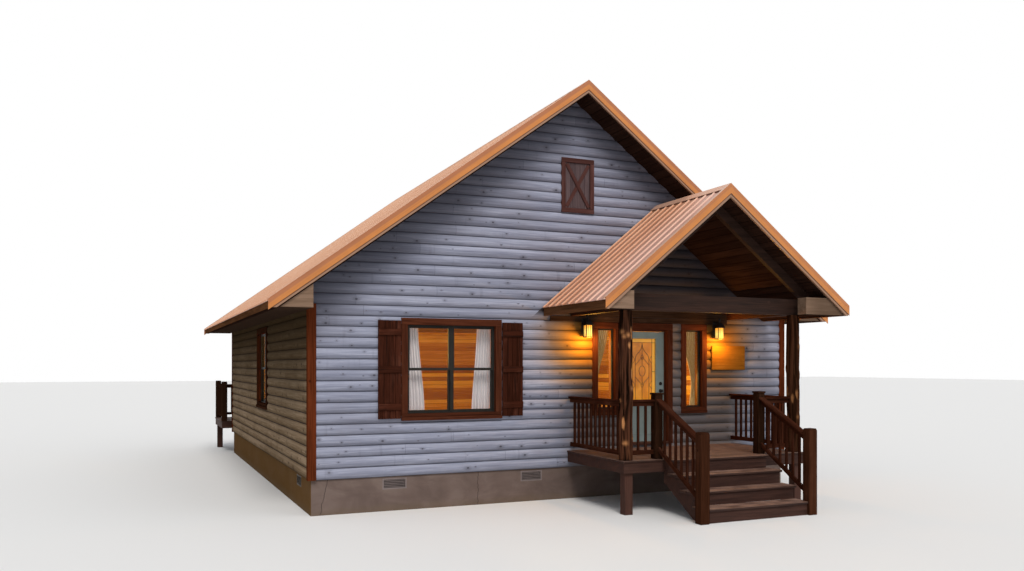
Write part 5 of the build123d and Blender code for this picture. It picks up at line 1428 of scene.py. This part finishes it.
def screw_rows(mesh, ridge_x, ridge_z, side, half, drop, y0, y1, rows):
    """Hex-headed screws beside each rib, in rows down one slope."""
    length = math.hypot(half, drop)
    down = Vector((side * half / length, 0, -drop / length))
    out = Vector((side * drop / length, 0, half / length))
    turn = out.to_track_quat("Z", "Y").to_matrix()
    ribs = int((y1 - y0 - RIB_BASE) // RIB_SPACING) + 1
    for row in range(rows):
        share = 0.06 + 0.91 * row / (rows - 1)
        for rib in range(ribs):
            y = (y0 + y1) / 2 + (rib - (ribs - 1) / 2) * RIB_SPACING + 0.040
            if y > y1 - 0.03:
                continue
            spot = Vector((ridge_x, y, ridge_z)) + down * length * share + out * 0.0085
            head = bmesh.ops.create_cone(mesh, cap_ends=True, segments=6,
                                         radius1=0.0075, radius2=0.0062, depth=0.006)
            bmesh.ops.rotate(mesh, cent=(0, 0, 0), matrix=turn, verts=head["verts"])
            bmesh.ops.translate(mesh, vec=spot, verts=head["verts"])


screws = bmesh.new()
roof_front, roof_back = FRONT - RAKE_OVERHANG, BACK + RAKE_OVERHANG
for side in (-1, 1):
    screw_rows(screws, 0, MAIN_RIDGE_Z, side, MAIN_HALF, MAIN_HALF * MAIN_PITCH, roof_front, roof_back, 9)
porch_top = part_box("porch_roof_left")[1].z
for side, half in zip((-1, 1), PORCH_HALVES):
    screw_rows(screws, PORCH_RIDGE_X, porch_top, side, half, PORCH_RISE, PORCH_FRONT, LOG_FACE, 5)
put("roof_screws", screws, nodes["roof_metal_left"].data.materials[0], "roof_metal")


# Camera, light and stage

camera = bpy.data.objects.new("camera", bpy.data.cameras.new("camera"))
bpy.context.scene.collection.objects.link(camera)
camera.location = (-7.128, -13.478, 2.325)
camera.rotation_euler = (math.radians(90), 0, math.radians(-23.909))
camera.data.sensor_width = 36
camera.data.lens = 30.35
camera.data.shift_y = 0.0777
camera.data.clip_end = 400
bpy.context.scene.camera = camera


def sun(name, direction, strength, colour, angle):
    """A soft distant light that shines along direction."""
    light = bpy.data.lights.new(name, "SUN")
    light.energy = strength
    light.color = colour
    light.angle = math.radians(angle)
    lamp = bpy.data.objects.new(name, light)
    bpy.context.scene.collection.objects.link(lamp)
    lamp.rotation_euler = Vector(direction).to_track_quat("-Z", "Y").to_euler()


def glow(name, place, power, colour, radius):
    """A small warm lamp on the cabin itself."""
    light = bpy.data.lights.new(name, "POINT")
    light.energy = power
    light.color = colour
    light.shadow_soft_size = radius
    lamp = bpy.data.objects.new(name, light)
    bpy.context.scene.collection.objects.link(lamp)
    lamp.location = place


sun("key", (0.15, 0.62, -0.78), 1.9, (1.0, 0.97, 0.94), 22)
sun("fill", (-0.6, 0.5, -0.5), 0.4, (0.95, 0.97, 1.0), 60)

world = bpy.data.worlds.new("studio")
bpy.context.scene.world = world
world.use_nodes = True
sky = world.node_tree
sky_light = sky.nodes["Background"]
sky_light.inputs["Color"].default_value = (0.88, 0.93, 1.0, 1)
sky_light.inputs["Strength"].default_value = 0.5
white = sky.nodes.new("ShaderNodeBackground")
white.inputs["Color"].default_value = (1, 1, 1, 1)
paths = sky.nodes.new("ShaderNodeLightPath")
seen = paths.outputs["Is Camera Ray"]
for kind in ("Is Transmission Ray", "Is Glossy Ray"):
    either = sky.nodes.new("ShaderNodeMath")
    either.operation = "MAXIMUM"
    sky.links.new(seen, either.inputs[0])
    sky.links.new(paths.outputs[kind], either.inputs[1])
    seen = either.outputs[0]
choose = sky.nodes.new("ShaderNodeMixShader")
sky.links.new(seen, choose.inputs[0])
sky.links.new(sky_light.outputs[0], choose.inputs[1])
sky.links.new(white.outputs[0], choose.inputs[2])
sky.links.new(choose.outputs[0], sky.nodes["World Output"].inputs[0])

ground = bmesh.new()
bmesh.ops.create_grid(ground, x_segments=1, y_segments=1, size=120)
ground_mesh = bpy.data.meshes.new("studio_floor")
ground.to_mesh(ground_mesh)
ground.free()
studio_floor = bpy.data.objects.new("studio_floor", ground_mesh)
bpy.context.scene.collection.objects.link(studio_floor)
floor_finish = Finish("studio_floor")
ground_mesh.materials.append(floor_finish.surface(Base_Color=(0.80, 0.79, 0.77), Roughness=0.85))

bpy.context.scene.view_settings.view_transform = "Standard"

# Lamplight: the two lanterns and the lit room
for side, x in enumerate(LANTERN_X):
    glow(f"lantern_light_{side}", (x, LANTERN_Y - 0.095, GLASS_LOW - 0.05), 40, (1.0, 0.46, 0.06), 0.04)
glow("room_light", (0.5, 3.2, 2.6), 520, (1.0, 0.66, 0.20), 0.4)
glow("room_light_left", (-2.6, 2.4, 2.7), 210, (1.0, 0.66, 0.20), 0.3)
